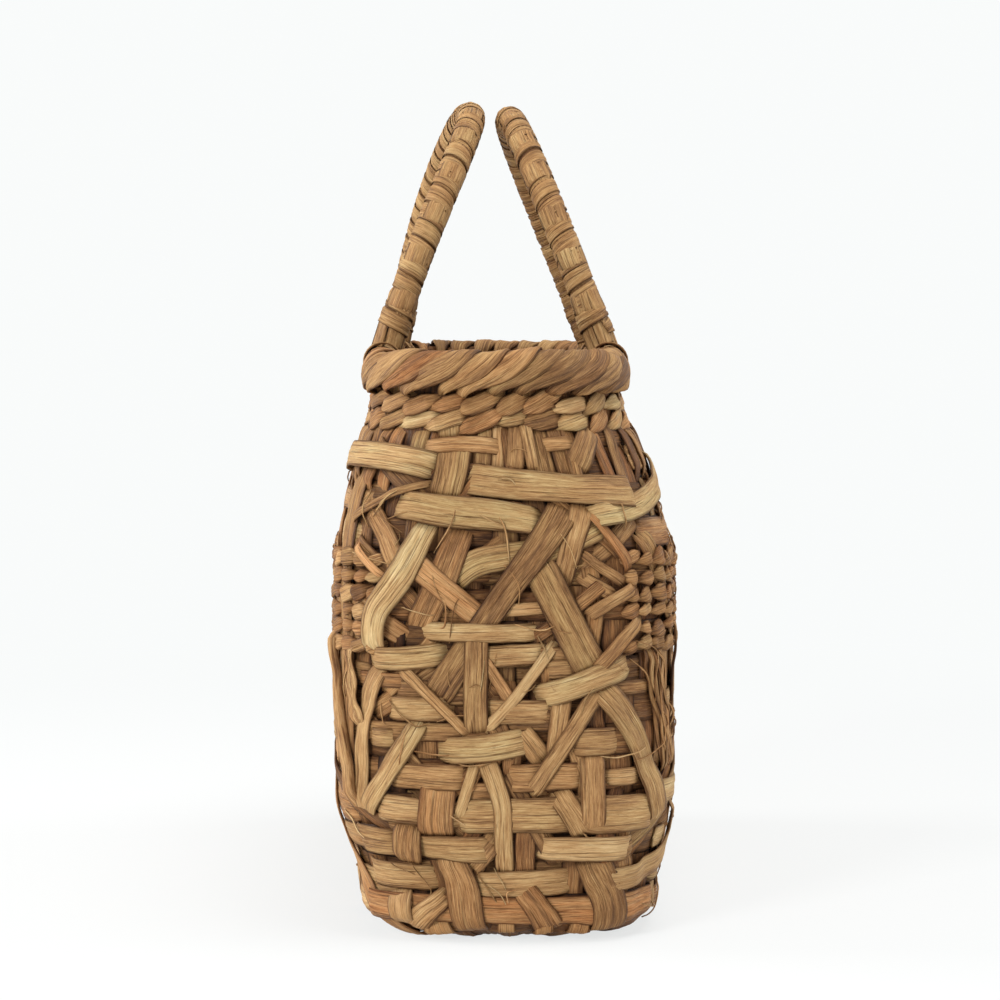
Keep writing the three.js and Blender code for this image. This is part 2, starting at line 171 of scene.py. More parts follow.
def look_up(at, lengths, line):
    """The line's points at some distances, given the running length at each of its own points."""
    return np.stack([np.interp(at, lengths, column) for column in line.T], -1)


def running_length(points):
    return np.r_[0, np.cumsum(np.linalg.norm(np.diff(points, axis=0), axis=1))]


def wander(at, spacing, size):
    """Smooth random values along a length."""
    knots = max(2, int(at[-1] / spacing) + 2)
    values = rng.normal(0, size, knots)
    t = np.clip(at / spacing, 0, knots - 1.001)
    k = t.astype(int)
    return blend(values[k], values[k + 1], smoothstep(t - k, 0, 1))


class Skin:
    """A surface that strips are laid on, with a map of how high they have reached, in 1 mm cells.

    point_at gives its points: a runs round it in a closed turn, b runs across it."""

    def __init__(self, point_at, turn, low, high, start=0.0, ceiling=5.0, edge_power=6):
        self.point_at, self.turn, self.low = point_at, turn, low
        self.ceiling = ceiling  # strips sink into each other rather than rise above it
        self.edge_power = edge_power  # the higher it is, the narrower are the strips' darkened edges, painted contact shade with some dirt
        self.heights = np.full((int(turn) + 1, int(high - low) + 1), start)
        self.around = None

    def frame(self, place):
        """The points at some places, their change per step of a and of b, and the outward normals."""
        a, b = place[..., 0], place[..., 1]
        h = 0.5
        round_step = (self.point_at(a + h, b) - self.point_at(a - h, b)) / (2 * h)
        cross_step = (self.point_at(a, b + h) - self.point_at(a, b - h)) / (2 * h)
        return self.point_at(a, b), round_step, cross_step, unit(np.cross(round_step, cross_step))

    def cells(self, place):
        return (
            (place[..., 0] % self.turn).astype(int),
            np.clip(place[..., 1] - self.low, 0, self.heights.shape[1] - 1).astype(int),
        )

    def stamp(self, place, top):
        """Raises the map to the top of what has just been laid."""
        fine_rows = np.linspace(0, len(place) - 1, 4 * len(place))
        low = fine_rows.astype(int).clip(0, len(place) - 2)
        share = (fine_rows - low)[:, None, None]
        rows = blend(place[low], place[low + 1], share)
        tops = blend(top[low], top[low + 1], share[..., 0])
        for part in (0, 0.5):
            columns = blend(rows[:, :-1], rows[:, 1:], part)
            level = blend(tops[:, :-1], tops[:, 1:], part)
            np.maximum.at(self.heights, self.cells(columns), level)

    def settle(self):
        """Notes how high what has been laid lies on average round each cell, once all is laid."""
        level = self.heights
        for axis in (0, 1):
            level = np.mean([np.roll(level, shift, axis) for shift in range(-4, 5)], axis=0)
        self.around = level


wall = Skin(wall_point, PERIMETER, -12, 240, start=0.5)
GROUND_DEPTH = 2.3  # how far an outer strip's ends go down into the ground weave
ROOT_LENGTH = 4.5  # and how far an end goes on under the strips beside it
STRIP_BACK = 0.15  # how far a strip's underside lies below its bed
POINT_SPACING = 0.9  # of the points across a strip
LIFT_RAMP = 14.0  # the length over which a strip that stands off rises


def longer(points, by):
    """A line that goes on at both ends by a length."""
    p = np.asarray(points, float)
    return np.vstack([p[0] + by * unit(p[0] - p[1]), p, p[-1] + by * unit(p[-1] - p[-2])])


def lie_on(under, across, step, reach):
    """The smooth bed of a strip on what lies under it: it bridges dips and leans, but doesn't dent."""
    third = max(1, under.shape[1] // 3)
    parts = [under[:, :third], under[:, third:-third], under[:, -third:]]
    lanes = np.stack([part.max(1) for part in parts], 1)
    k = max(1, int(round(reach / step)))
    padded = np.pad(lanes, ((k, k), (0, 0)), mode="edge")
    spread = np.max([padded[i : i + len(lanes)] for i in range(2 * k + 1)], axis=0)
    weights = np.hanning(2 * k + 3)[1:-1]
    padded = np.pad(spread, ((k, k), (0, 0)), mode="edge")
    soft = sum(w * padded[i : i + len(lanes)] for i, w in enumerate(weights / weights.sum()))
    middle = np.maximum(soft[:, 1], (soft[:, 0] + soft[:, 2]) / 2)
    tilt = np.clip((soft[:, 2] - soft[:, 0]) / 2, -1.1, 1.1)
    return middle[:, None] + tilt[:, None] * across * 0.9


# Meshes
RECESS_SHADE = 0.7  # how far bark that lies deep is darkened: painted shade of the recesses, with some dirt


def new_object(name, data):
    made = bpy.data.objects.new(name, data)
    bpy.context.scene.collection.objects.link(made)
    return made


class Piece:
    """Gathers closed bodies for one object, with the attributes that its bark material reads.

    Where it has a skin, bark that lies deep in what surrounds it there is darkened, as painted shade with
    some dirt.
    deep gives the depths from which on, and down to which, the dark grows."""

    def __init__(self, skin=None, deep=(0.3, 3.2)):
        self.points, self.fibre, self.tint, self.loops, self.starts = [], [], [], [], []
        self.skin, self.deep = skin, deep
        self.places, self.levels = [], []
        self.count = 0
        self.loop_count = 0

    def add(self, rings, fibre, tint, edge, closed=False, place=None, level=None):
        """rings (n, k, 3) are sections in order; fibre is (n, k, 2), tint 3 numbers, edge (n, k).

        place and level say where on the piece's skin each point lies, and how high."""
        n, k = rings.shape[:2]
        index = self.count + np.arange(n * k).reshape(n, k)
        here, after = (index, np.roll(index, -1, 0)) if closed else (index[:-1], index[1:])
        quads = np.stack([here, np.roll(here, -1, 1), np.roll(after, -1, 1), after], -1).reshape(-1, 4)
        faces = [quads.ravel()]
        sizes = [np.full(len(quads), 4)]
        if not closed:
            faces += [index[0][::-1], index[-1]]
            sizes += [[k], [k]]
        self.loops.append(np.concatenate(faces))
        sizes = np.concatenate(sizes)
        self.starts.append(self.loop_count + np.r_[0, np.cumsum(sizes)[:-1]])
        self.loop_count += int(sizes.sum())
        self.points.append(rings.reshape(-1, 3))
        seed = np.full((n * k, 1), rng.uniform(0, 500))
        self.fibre.append(np.hstack([fibre.reshape(-1, 2), seed]))
        color = np.empty((n * k, 4))
        color[:, :3] = tint
        color[:, 3] = edge.ravel()
        self.tint.append(color)
        if self.skin:
            self.places.append(place.reshape(-1, 2))
            self.levels.append(level.ravel())
        self.count += n * k

    def build(self, name, slot, nodes=(), body="basket"):
        mesh = bpy.data.meshes.new(name)
        points = np.concatenate(self.points) * MM
        points[:, 2] = np.maximum(points[:, 2], 0)  # what lies under the foot is pressed flat
        loops = np.concatenate(self.loops)
        starts = np.concatenate(self.starts)
        mesh.vertices.add(len(points))
        mesh.vertices.foreach_set("co", points.astype(np.float32).ravel())
        mesh.loops.add(len(loops))
        mesh.loops.foreach_set("vertex_index", loops.astype(np.int32))
        mesh.polygons.add(len(starts))
        mesh.polygons.foreach_set("loop_start", starts.astype(np.int32))
        mesh.polygons.foreach_set("use_smooth", np.ones(len(starts), bool))
        mesh.update(calc_edges=True)
        mesh.validate()
        fibre = mesh.attributes.new("fibre", "FLOAT_VECTOR", "POINT")
        fibre.data.foreach_set("vector", np.concatenate(self.fibre).astype(np.float32).ravel())
        tint = mesh.attributes.new("tint", "FLOAT_COLOR", "POINT")
        colors = np.concatenate(self.tint)
        # painted shade: bark lying below the height around it is darkened
        if self.skin:
            around = self.skin.around[self.skin.cells(np.concatenate(self.places))]
            recess = smoothstep(around - np.concatenate(self.levels), *self.deep)
            colors[:, 3] = np.clip(colors[:, 3] + RECESS_SHADE * recess, 0, 1)
        tint.data.foreach_set("color", colors.astype(np.float32).ravel())
        mesh.materials.append(bark[slot])
        piece = new_object(name, mesh)
        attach(piece, body)
        if nodes:
            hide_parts(*nodes)


RIDGE_WAVES = (1.3, 2.6, 4.3)
RIDGE_HEIGHT = 0.07
CREASE_DEPTH = 0.35
CREASE_WIDTH = 0.07  # as a share of the strip's half width


def strip_relief(at, across, thickness, folds, crown=0.45):
    """Height of a strip's top over its bed: nearly flat, with round edges, soft ridges and creases."""
    rise = thickness * (1 - crown + crown * np.clip(1 - np.abs(across) ** 4, 0, 1) ** 0.5)
    relief = np.repeat(rise[None, :], len(at), 0)
    for waves in RIDGE_WAVES:
        phase = wander(at, 38, 1.1)[:, None] + rng.uniform(0, 6.3)
        relief += RIDGE_HEIGHT * np.cos(waves * math.pi * across + phase) * (1 - across**6)
    for _ in range(folds):
        line = rng.choice([-1, 1]) * rng.uniform(0.3, 0.7) + wander(at, 45, 0.05)[:, None]
        relief -= CREASE_DEPTH * np.exp(-(((across - line) / CREASE_WIDTH) ** 2))
    return relief


def random_tint(tone, red=0.3, grey=0.25, spread=1.0):
    """How light, how red and how grey one strip of bark is, each 0 to 1."""
    return np.clip(np.array([tone, red, grey]) + spread * rng.normal(0, (0.09, 0.26, 0.2)), 0, 1)


UNDERSIDE = np.array([0.82, 0.0, -0.82])  # where the points of a strip's underside lie across it


def add_section(piece, point, normal, top, bottom, at, offset, tint, across, edges, closed=False, place=None):
    """Adds a strip to a piece: rings of its top's points, closed by a few points on its underside.

    edges is the power with which the top darkens towards its edges, and how dark the underside is: painted
    shade, with some dirt at the edges."""
    picks = [int(np.argmin(np.abs(across - v))) for v in UNDERSIDE]

    def ring(upper, lower):
        return np.concatenate([upper, lower[:, picks]], 1)[:, ::-1]

    rings = ring(point + normal * top[..., None], point + normal * bottom[..., None])
    fibre = paired(at[:, None], offset)
    edge = ring(np.abs(across) ** edges[0] + 0 * top, edges[1] + 0 * top)
    on_skin = () if place is None else (ring(place, place), ring(top, top))
    piece.add(rings, ring(fibre, fibre), tint, edge, closed, *on_skin)


def close_section(skin, piece, place, top, bed, at, offset, tint, across, closed=False):
    """Adds a strip to a piece, given its places on a skin and the heights of its top and its bed."""
    point, _, _, normal = skin.frame(place)
    # painted shade: the top darkens towards its edges, the underside fully
    edges = (skin.edge_power, 1.0)
    bottom = bed - STRIP_BACK
    add_section(piece, point, normal, top, bottom, at, offset, tint, across, edges, closed, place)


def lay_strip(
    skin, piece, points, width, tint, thickness=1.0, tuck=(1, 1), folds=1, reach=3.5, step=2.2, lean=0.0,
    sway=0.5, dive=None, dive_length=10.0, narrow=(0.7, 0.7), taper=8.0, crown=0.45, lift=0.0,
):
    """Lays one strip on a skin along (a, b) points, over all that lies there already.

    Its ends dive by a depth under what lies beside them, or else go further, down into the ground weave.
    tuck is how much of that its two ends do, narrow how wide they are and taper how long that takes,
    lean how far its edges rise and sink, and lift how far its middle stands off."""
    if dive is None:
        points = longer(points, ROOT_LENGTH)
    line = smooth_line(points)
    run = running_length(skin.point_at(line[:, 0], line[:, 1]))
    at = np.linspace(0, run[-1], max(3, int(round(run[-1] / step)) + 1))
    path = look_up(at, run, line)
    across = np.linspace(-1, 1, max(9, int(width / POINT_SPACING) | 1))
    centre, round_step, cross_step, normal = skin.frame(path)
    side = unit(np.cross(normal, unit(np.gradient(centre, axis=0))))
    per_mm = np.stack([(side * e).sum(1) / (e * e).sum(1) for e in (round_step, cross_step)], 1)
    left = at[-1] - at
    wide = width / 2 * (1 + wander(at, 30, 0.05))
    for share, run in zip(narrow, (at, left)):
        wide *= share + (1 - share) * smoothstep(run, 0, taper)
    offset = across * wide[:, None] + wander(at, 45, sway)[:, None]
    place = path[:, None, :] + offset[..., None] * per_mm[:, None, :]
    bed = lie_on(skin.heights[skin.cells(place)], across, step, reach)
    bed = skin.ceiling * np.tanh(bed / skin.ceiling) + lean * across
    ramp = min(LIFT_RAMP, 0.35 * at[-1])
    bed = bed + lift * (smoothstep(at, 0, ramp) * smoothstep(left, 0, ramp))[:, None]
    sunk = [share * smoothstep(dive_length - run, 0, dive_length) for share, run in zip(tuck, (at, left))]
    sunk = np.maximum(*sunk)[:, None]
    bed = bed - sunk * (bed + GROUND_DEPTH if dive is None else dive)
    top = bed + strip_relief(at, across, thickness, folds, crown)
    close_section(skin, piece, place, top, bed, at, offset, tint, across)
    skin.stamp(place, top)


# Materials
def srgb(red, green, blue):
    def linear(v):
        v /= 255
        return v / 12.92 if v <= 0.04045 else ((v + 0.055) / 1.055) ** 2.4

    return (linear(red), linear(green), linear(blue), 1.0)


class Nodes:
    """Short names for building the node tree of a material or a world."""

    def __init__(self, owner):
        owner.use_nodes = True
        self.tree = owner.node_tree

    def link(self, value, socket):
        if isinstance(value, bpy.types.NodeSocket):
            self.tree.links.new(value, socket)
        else:
            socket.default_value = value

    def add(self, kind, *values, **settings):
        """A new node whose first inputs take the values: constants, or outputs of other nodes."""
        node = self.tree.nodes.new(kind)
        for key, value in settings.items():
            setattr(node, key, value)
        for value, socket in zip(values, node.inputs):
            self.link(value, socket)
        return node

    def fill(self, node, values):
        """Gives a node's inputs, by their names, their values."""
        for name, value in values.items():
            self.link(value, node.inputs[name])

    def math(self, operation, *values, clamp=False):
        return self.add("ShaderNodeMath", *values, operation=operation, use_clamp=clamp).outputs[0]

    def noise(self, vector, stretch, detail=3.0, rough=0.55, distortion=0.0):
        scaled = self.add("ShaderNodeVectorMath", vector, stretch, operation="MULTIPLY").outputs[0]
        noise = self.add("ShaderNodeTexNoise")
        self.fill(noise, {"Vector": scaled, "Scale": 1.0, "Detail": detail})
        self.fill(noise, {"Roughness": rough, "Distortion": distortion})
        return noise.outputs["Fac"]

    def ramp(self, value, stops):
        node = self.add("ShaderNodeValToRGB", value)
        elements = node.color_ramp.elements
        while len(elements) < len(stops):
            elements.new(0.5)
        for element, (position, color) in zip(elements, stops):
            element.position = position
            element.color = color
        return node.outputs[0]

    def mix(self, factor, a, b, blend="MIX"):
        node = self.add("ShaderNodeMix", factor, data_type="RGBA", blend_type=blend)
        self.link(a, node.inputs[6])
        self.link(b, node.inputs[7])
        return node.outputs[2]

    def multiply(self, a, b):
        return self.mix(1.0, a, b, "MULTIPLY")

    def range(self, value, low, high, to_low=0.0, to_high=1.0):
        limits = (low, high, to_low, to_high)
        return self.add("ShaderNodeMapRange", value, *limits, interpolation_type="SMOOTHSTEP").outputs[0]

    def mix_shader(self, factor, a, b):
        return self.add("ShaderNodeMixShader", factor, a, b).outputs[0]


BARK_STOPS = [
    (0.0, srgb(72, 46, 26)),
    (0.3, srgb(130, 91, 54)),
    (0.55, srgb(181, 139, 90)),
    (0.8, srgb(212, 176, 125)),
    (1.0, srgb(235, 207, 160)),
]
REDDISH = (1.0, 0.76, 0.66, 1.0)
GREYISH = (0.86, 0.97, 0.92, 1.0)
# colour that the bark's cracks, lines and spots darken it towards, and also its painted shade
MARK_AND_SHADE_COLOR = (0.30, 0.22, 0.16, 1.0)
FIBRE_DEPTH = 0.6  # of the bump


def bark_material(name, light=0.0):
    """Dry vine bark: fibres and cracks run along each strip, tones differ from strip to strip. The tint's
    alpha darkens it as painted shade at strip edges, undersides and recesses, with some dirt.
    """
    material = bpy.data.materials.new(name)
    n = Nodes(material)
    fibre = n.add("ShaderNodeAttribute", attribute_name="fibre").outputs["Vector"]
    tint = n.add("ShaderNodeAttribute", attribute_name="tint").outputs
    tone, red, grey = n.add("ShaderNodeSeparateColor", tint["Color"]).outputs
    # painted shade: darker strip edges, undersides and recesses, with some dirt at the edges
    edge = tint["Alpha"]
    threads = n.noise(fibre, (0.14, 3.0, 1.0), detail=5.0, rough=0.75)
    grain = n.noise(fibre, (0.05, 1.5, 1.0), rough=0.6)
    lines = n.range(n.noise(fibre, (0.07, 2.2, 1.0), rough=0.6), 0.58, 0.68)
    spots = n.range(n.noise(fibre, (0.22, 0.5, 1.0), detail=4.0, rough=0.7), 0.58, 0.72)
    streaks = n.noise(fibre, (0.022, 0.65, 1.0))
    clouds = n.noise(fibre, (0.045, 0.12, 1.0))
    cracks = n.range(n.noise(fibre, (0.028, 1.6, 1.0), detail=2.0, distortion=0.3), 0.60, 0.66)
    shade = n.math("MULTIPLY_ADD", streaks, 0.5, n.math("MULTIPLY_ADD", threads, 1.3, -0.9))
    shade = n.math("ADD", shade, n.math("MULTIPLY_ADD", grain, 0.45, -0.225))
    shade = n.math("ADD", shade, n.math("MULTIPLY_ADD", clouds, 0.6, -0.3))
    shade = n.math("ADD", n.math("ADD", shade, tone), light, clamp=True)
    color = n.ramp(shade, BARK_STOPS)
    red_share = n.math("MULTIPLY", red, n.range(streaks, 0.35, 0.65, 0.4, 1.0))
    color = n.mix(red_share, color, n.multiply(color, REDDISH))
    grey_share = n.math("MULTIPLY", grey, n.range(clouds, 0.35, 0.65, 0.3, 1.0))
    color = n.mix(grey_share, color, n.multiply(color, GREYISH))
    # cracks, lines and spots are the bark's own marks; the edge term adds the painted shade
    marks_and_shade = n.math("MULTIPLY_ADD", lines, 0.42, n.math("MULTIPLY", cracks, 0.65))
    marks_and_shade = n.math("MULTIPLY_ADD", spots, 0.3, marks_and_shade)
    marks_and_shade = n.math("MULTIPLY_ADD", edge, 0.85, marks_and_shade, clamp=True)
    color = n.mix(marks_and_shade, color, n.multiply(color, MARK_AND_SHADE_COLOR))
    ridges = n.math("MULTIPLY_ADD", streaks, 0.6, threads)
    height = n.math("SUBTRACT", ridges, n.math("MULTIPLY", cracks, 0.8))
    bump = n.add("ShaderNodeBump")
    n.fill(bump, {"Strength": 0.8, "Distance": FIBRE_DEPTH * MM, "Height": height})
    shader = n.tree.nodes["Principled BSDF"]
    n.fill(shader, {"Base Color": color, "Roughness": n.range(streaks, 0.3, 0.7, 0.5, 0.78)})
    n.fill(shader, {"Specular IOR Level": 0.25, "Normal": bump.outputs[0]})
    return material


# how much lighter or darker each bark is; the ground weave's bark, also used for its rows, is darkened as
# painted shade of the layer under the outer strips
BARK_LIGHT = {"ground_bark": -0.16, "strip_bark": 0.0, "twine_bark": -0.02, "rim_bark": 0.0, "wrap_bark": 0.0}
bark = {slot: bark_material(slot, light) for slot, light in BARK_LIGHT.items()}
bark["band_bark"] = bark["ground_bark"]
bark["vine"] = bark_material("vine_stem", light=-0.25)

# Ground weave: uprights that turn up out of the base, and rows of weavers in and out of them
UPRIGHTS = 52
UPRIGHT_PITCH = PERIMETER / UPRIGHTS
GROUND_MIDDLE = -1.1
GROUND_WAVE = 0.75
GROUND_THICKNESS = 0.9
GROUND_LANES = np.linspace(-1, 1, 7)  # the points across each of its strips
UPRIGHT_FOOT = -6.5  # where the uprights start, under the base's edge
FOOT_ROW = (6.6, 27.4)  # middle height and width
NECK_ROW = (NECK_LOW + 3.75, 7.0)
ROW_WIDTH = 13.3


def row_number(s):
    return (s - FOOT_TOP) / ROW_PITCH - 0.5


def weave_in(piece, place, wave, at, offset, closed=False):
    """Adds a strip of the ground weave, which wave takes in and out."""
    bed = (GROUND_MIDDLE + GROUND_WAVE * wave)[:, None] + 0 * GROUND_LANES
    top = bed + strip_relief(at, GROUND_LANES, GROUND_THICKNESS, 1)
    tint = random_tint(0.42, grey=0.1)
    close_section(wall, piece, place, top, bed, at, offset, tint, GROUND_LANES, closed)


uprights = Piece(wall)
for k in range(UPRIGHTS):
    s = np.arange(UPRIGHT_FOOT, WALL_TOP + 2.0, 2.5)
    at = s + 7
    wider = 0.16 * smoothstep(s, NECK_LOW - 10, NECK_LOW + 8)
    half = UPRIGHT_PITCH * (0.40 + wider + wander(at, 40, 0.02))
    u = k * UPRIGHT_PITCH + wander(at, 60, 0.7)
    offset = half[:, None] * GROUND_LANES
    place = paired(u[:, None] + offset, s[:, None])
    wave = np.cos(math.pi * (row_number(s) + k)) * smoothstep(UPPER_TWINE - s, 0, 8)
    wave += 0.4 * (-1) ** k * smoothstep(s, UPPER_TWINE - 8, UPPER_TWINE)
    weave_in(uprights, place, wave, at, offset)
wall_pieces = [(uprights, "ground_uprights", "ground_bark", ["ground_wall"])]

row_levels = {"foot": FOOT_ROW, "neck": NECK_ROW}
for row in range(ROW_COUNT):
    row_levels[f"{row + 1:02d}"] = (FOOT_TOP + (row + 0.5) * ROW_PITCH, ROW_WIDTH)
for name, (level, width) in row_levels.items():
    row_piece = Piece(wall)
    u = np.arange(0, PERIMETER - 1.5, 3.0)
    s = level + 0.6 * np.sin(u / PERIMETER * 2 * math.pi * 3 + rng.uniform(0, 6))
    offset = width / 2 * GROUND_LANES
    place = paired(u[:, None], s[:, None] - offset)
    wave = -np.cos(math.pi * (round(float(row_number(level))) + u / UPRIGHT_PITCH))
    weave_in(row_piece, place, wave, u, offset, closed=True)
    wall_pieces.append((row_piece, f"ground_row_{name}", "band_bark", [f"band_{name}"]))


# Base: a plain weave of flat strips that reach out to the foot of the walls
BASE_LIFT = 1.5
BASE_WAVE = 0.65
BASE_PITCH = 17.0
BASE_HALF_WIDTH = 8.75
BASE_HALF_COUNTS = {True: 2, False: 7}  # strips on each side of the middle one, along the bag and across it
BASE_EDGE = -6.0  # the distance up the wall at which the base ends


def base_reach(off, along_x):
    """How far the base reaches at a distance from its middle line."""
    edge = wall_point(np.linspace(0, PERIMETER, 720, endpoint=False), BASE_EDGE)
    x, y = edge[:, 0], edge[:, 1] - edge[:, 1].mean()
    across, reach = (y, np.abs(x)) if along_x else (x, np.abs(y))
    near = np.abs(across - off) < 3
    return reach[near].max() if near.any() else 0.0


def base_strips(name, along_x):
    """The base's strips that run one way, in and out of those that cross them."""
    piece = Piece()
    half_count = BASE_HALF_COUNTS[along_x]
    for k in range(-half_count, half_count + 1):
        reach = base_reach(k * BASE_PITCH, along_x) + 1.5
        at = np.linspace(0, 2 * reach, max(8, int(reach)))
        across = np.linspace(-1, 1, 9)
        wave = np.cos(math.pi * ((at - reach) / BASE_PITCH + k + (0 if along_x else 1)))
        level = BASE_LIFT + BASE_WAVE * wave
        offset = BASE_HALF_WIDTH * across + wander(at, 50, 0.1)[:, None]
        run = (at - reach)[:, None]
        x, y = (run, k * BASE_PITCH + offset) if along_x else (k * BASE_PITCH - offset, run)
        point = paired(x, y + FOOT_SHIFT, level[:, None])
        top = 0.5 * strip_relief(at, across, 0.9, 1)
        # painted shade: the base's edges and underside darken less than the wall's strips
        add_section(piece, point, UP, top, 0 * top - 0.3, at, offset, random_tint(0.45), across, (5, 0.3))
    piece.build(name, "ground_bark", ["ground_base"])


base_strips("base_strips_long", True)
base_strips("base_strips_cross", False)

# Outer strips. Faces and kinds are gathered into one piece each.
SHOWN = 66.0  # how far from the near end's middle the photograph shows the wall
FACES = ("end_near", "side_back", "end_far", "side_front")
FACE_ENDS = np.cumsum(2 * [2 * (HALF_END + CORNER_LENGTH), 2 * (BELLY_HALF_LENGTH - CORNER_RADIUS)])
outer = {(face, kind): Piece(wall) for face in FACES for kind in ("level", "upright", "slanting")}


def face_at(u):
    """The face whose stretch of the wall holds u."""
    turned = (u + HALF_END + CORNER_LENGTH) % PERIMETER
    return FACES[np.searchsorted(FACE_ENDS[:-1], turned, side="right")]


def lay_outer(kind, points, width, tint, **how):
    """Lays a strip on the wall, for the piece of its kind and of the face that its middle is on."""
    middle = points[len(points) // 2][0] if len(points) > 2 else (points[0][0] + points[1][0]) / 2
    lay_strip(wall, outer[face_at(middle), kind], points, width, tint, **how)


def random_line(u, s, slope, half, bend, rise=0.0):
    """A sloping line whose middle, at (u, s), is bent aside. half is how far it goes to each side."""
    along, up = half * math.cos(slope), half * math.sin(slope)
    return [(u - along, s - up), (u + bend, s + rise), (u + along, s + up)]


def scattered_strips(low_u, high_u):
    """Random strips of the faces that the photograph doesn't show: level ones, uprights and slanting ones."""
    found = []
    for row in range(-1, ROW_COUNT):
        level = FOOT_TOP + (row + 0.5) * ROW_PITCH
        u = low_u + rng.uniform(0, 30)
        while u < high_u - 30:
            length = min(rng.uniform(45, 150), high_u - u)
            start, end = level + rng.normal(0, 1.8, 2)
            found.append((rng.uniform(0, 1), "level", rng.uniform(8.5, 13), [(u, start), (u + length, end)]))
            u += length + rng.uniform(-8, 9)
    u = low_u + 6
    while u < high_u:
        low = rng.uniform(-5, 150)
        high = min(low + rng.uniform(45, 140), NECK_LOW + 5)
        lean = rng.normal(0, 5)
        found.append((rng.uniform(0.2, 1.3), "upright", rng.uniform(7, 12), [(u, low), (u + lean, high)]))
        u += rng.uniform(9, 19)
    slanting = int((high_u - low_u) / 9)
    for k in range(slanting):
        middle = low_u + (k + rng.uniform(0, 1)) * (high_u - low_u) / slanting
        height = rng.uniform(25, 180)
        slope = math.radians(rng.uniform(28, 68)) * rng.choice([-1, 1])
        half = rng.uniform(28, 62)
        half = min(half, (height + 3) / abs(math.sin(slope)), (NECK_LOW + 4 - height) / abs(math.sin(slope)))
        points = random_line(middle, height, slope, half, rng.normal(0, 5))
        found.append((rng.uniform(0.5, 1.8), "slanting", rng.uniform(6.5, 12.5), points))
    return sorted(found, key=lambda strip: strip[0])


for _, kind, width, points in scattered_strips(SHOWN, PERIMETER - SHOWN):
    lay_outer(kind, points, width, random_tint(rng.uniform(0.42, 0.62)), folds=int(rng.integers(0, 3)))

# The uprights' upper ends, which show below the neck twining
NECK_UPRIGHTS = 92
for k in range(NECK_UPRIGHTS):
    u = (k + rng.uniform(-0.2, 0.2)) * PERIMETER / NECK_UPRIGHTS
    low = NECK_LOW - rng.uniform(10, 22)
    points = [(u + rng.normal(0, 2.5), low), (u, NECK_LOW + 8)]
    lay_outer("upright", points, rng.uniform(5.5, 8), random_tint(0.42))

# A loose layer of narrow strips under the near end's outer ones
UNDER_STRIPS = 60
SLOPE_SHARES = (0.35, 0.25, 0.2, 0.2)  # level, upright, rising and falling
for k in range(UNDER_STRIPS):
    u, s = rng.uniform(-54, 54), rng.uniform(4, 196)
    slopes = [0, math.pi / 2, rng.uniform(0.5, 1.1), rng.uniform(2.0, 2.6)]
    slope = rng.choice(slopes, p=SLOPE_SHARES)
    points = random_line(u, s, slope, rng.uniform(10, 24), rng.normal(0, 1.5))
    points[0] = (points[0][0], max(points[0][1], 1))
    kind = "level" if slope == 0 else "upright" if slope == math.pi / 2 else "slanting"
    lay_outer(kind, points, rng.uniform(5, 9), random_tint(0.4))


# Twining: short stitches that come up, cross the strips and dive again
def twine_stitches(piece, low_u, high_u, level, pitch, length, width, rise, tone, thickness, spread=0.8):
    """A row of stitches from low_u to high_u, a pitch apart."""
    ring_u = np.linspace(low_u - 30, high_u + 30, 1200)
    ring_run = running_length(wall_point(ring_u, np.full_like(ring_u, level)))
    low, high = np.interp([low_u, high_u], ring_u, ring_run)
    count = max(1, int(round((high - low) / pitch)))
    for k in range(count):
        run = low + (k + 0.5) * (high - low) / count + rng.normal(0, 0.05 * pitch)
        s = level + rng.normal(0, 0.6)
        reach = length / 2 * rng.uniform(0.85, 1.2)
        climb = rise * rng.uniform(0.3, 1.7)
        points = [(np.interp(run + f * reach, ring_run, ring_u), s + f * climb) for f in (-1, 0, 1)]
        broad = width * rng.uniform(0.78, 1.15)
        tint = random_tint(tone, red=0.4, spread=spread)
        lay_strip(
            wall, piece, points, broad, tint, thickness, folds=2, reach=1.5, step=1.1, sway=0.2, dive=2.4,
            dive_length=0.34 * length, narrow=(0.3, 0.4), taper=0.45 * length,
        )


PANEL_FIRST_ROW = 7
PANEL_ROWS = 3
PANEL_END = 52.0  # where the panels start, from the near end's middle round the wall
PANEL_LINES = (-3.5, 3.5)  # how far above a row's middle its two lines of stitches run
PANEL_STITCH = {"pitch": 7.4, "length": 9.5, "width": 6.6, "rise": 1.5, "tone": 0.46, "thickness": 1.7}
for side, middle in (("back", SIDE_MIDDLE), ("front", 3 * SIDE_MIDDLE)):
    reach = SIDE_MIDDLE - PANEL_END
    for row in range(PANEL_ROWS):
        panel = Piece(wall)
        level = FOOT_TOP + (PANEL_FIRST_ROW + row + 0.5) * ROW_PITCH
        for off in PANEL_LINES:
            twine_stitches(panel, middle - reach, middle + reach, level + off, **PANEL_STITCH)
        end = f"panel_{side}_{row + 1}"
        wall_pieces.append((panel, f"twined_{end}", "twine_bark", [f"twine_{end}"]))

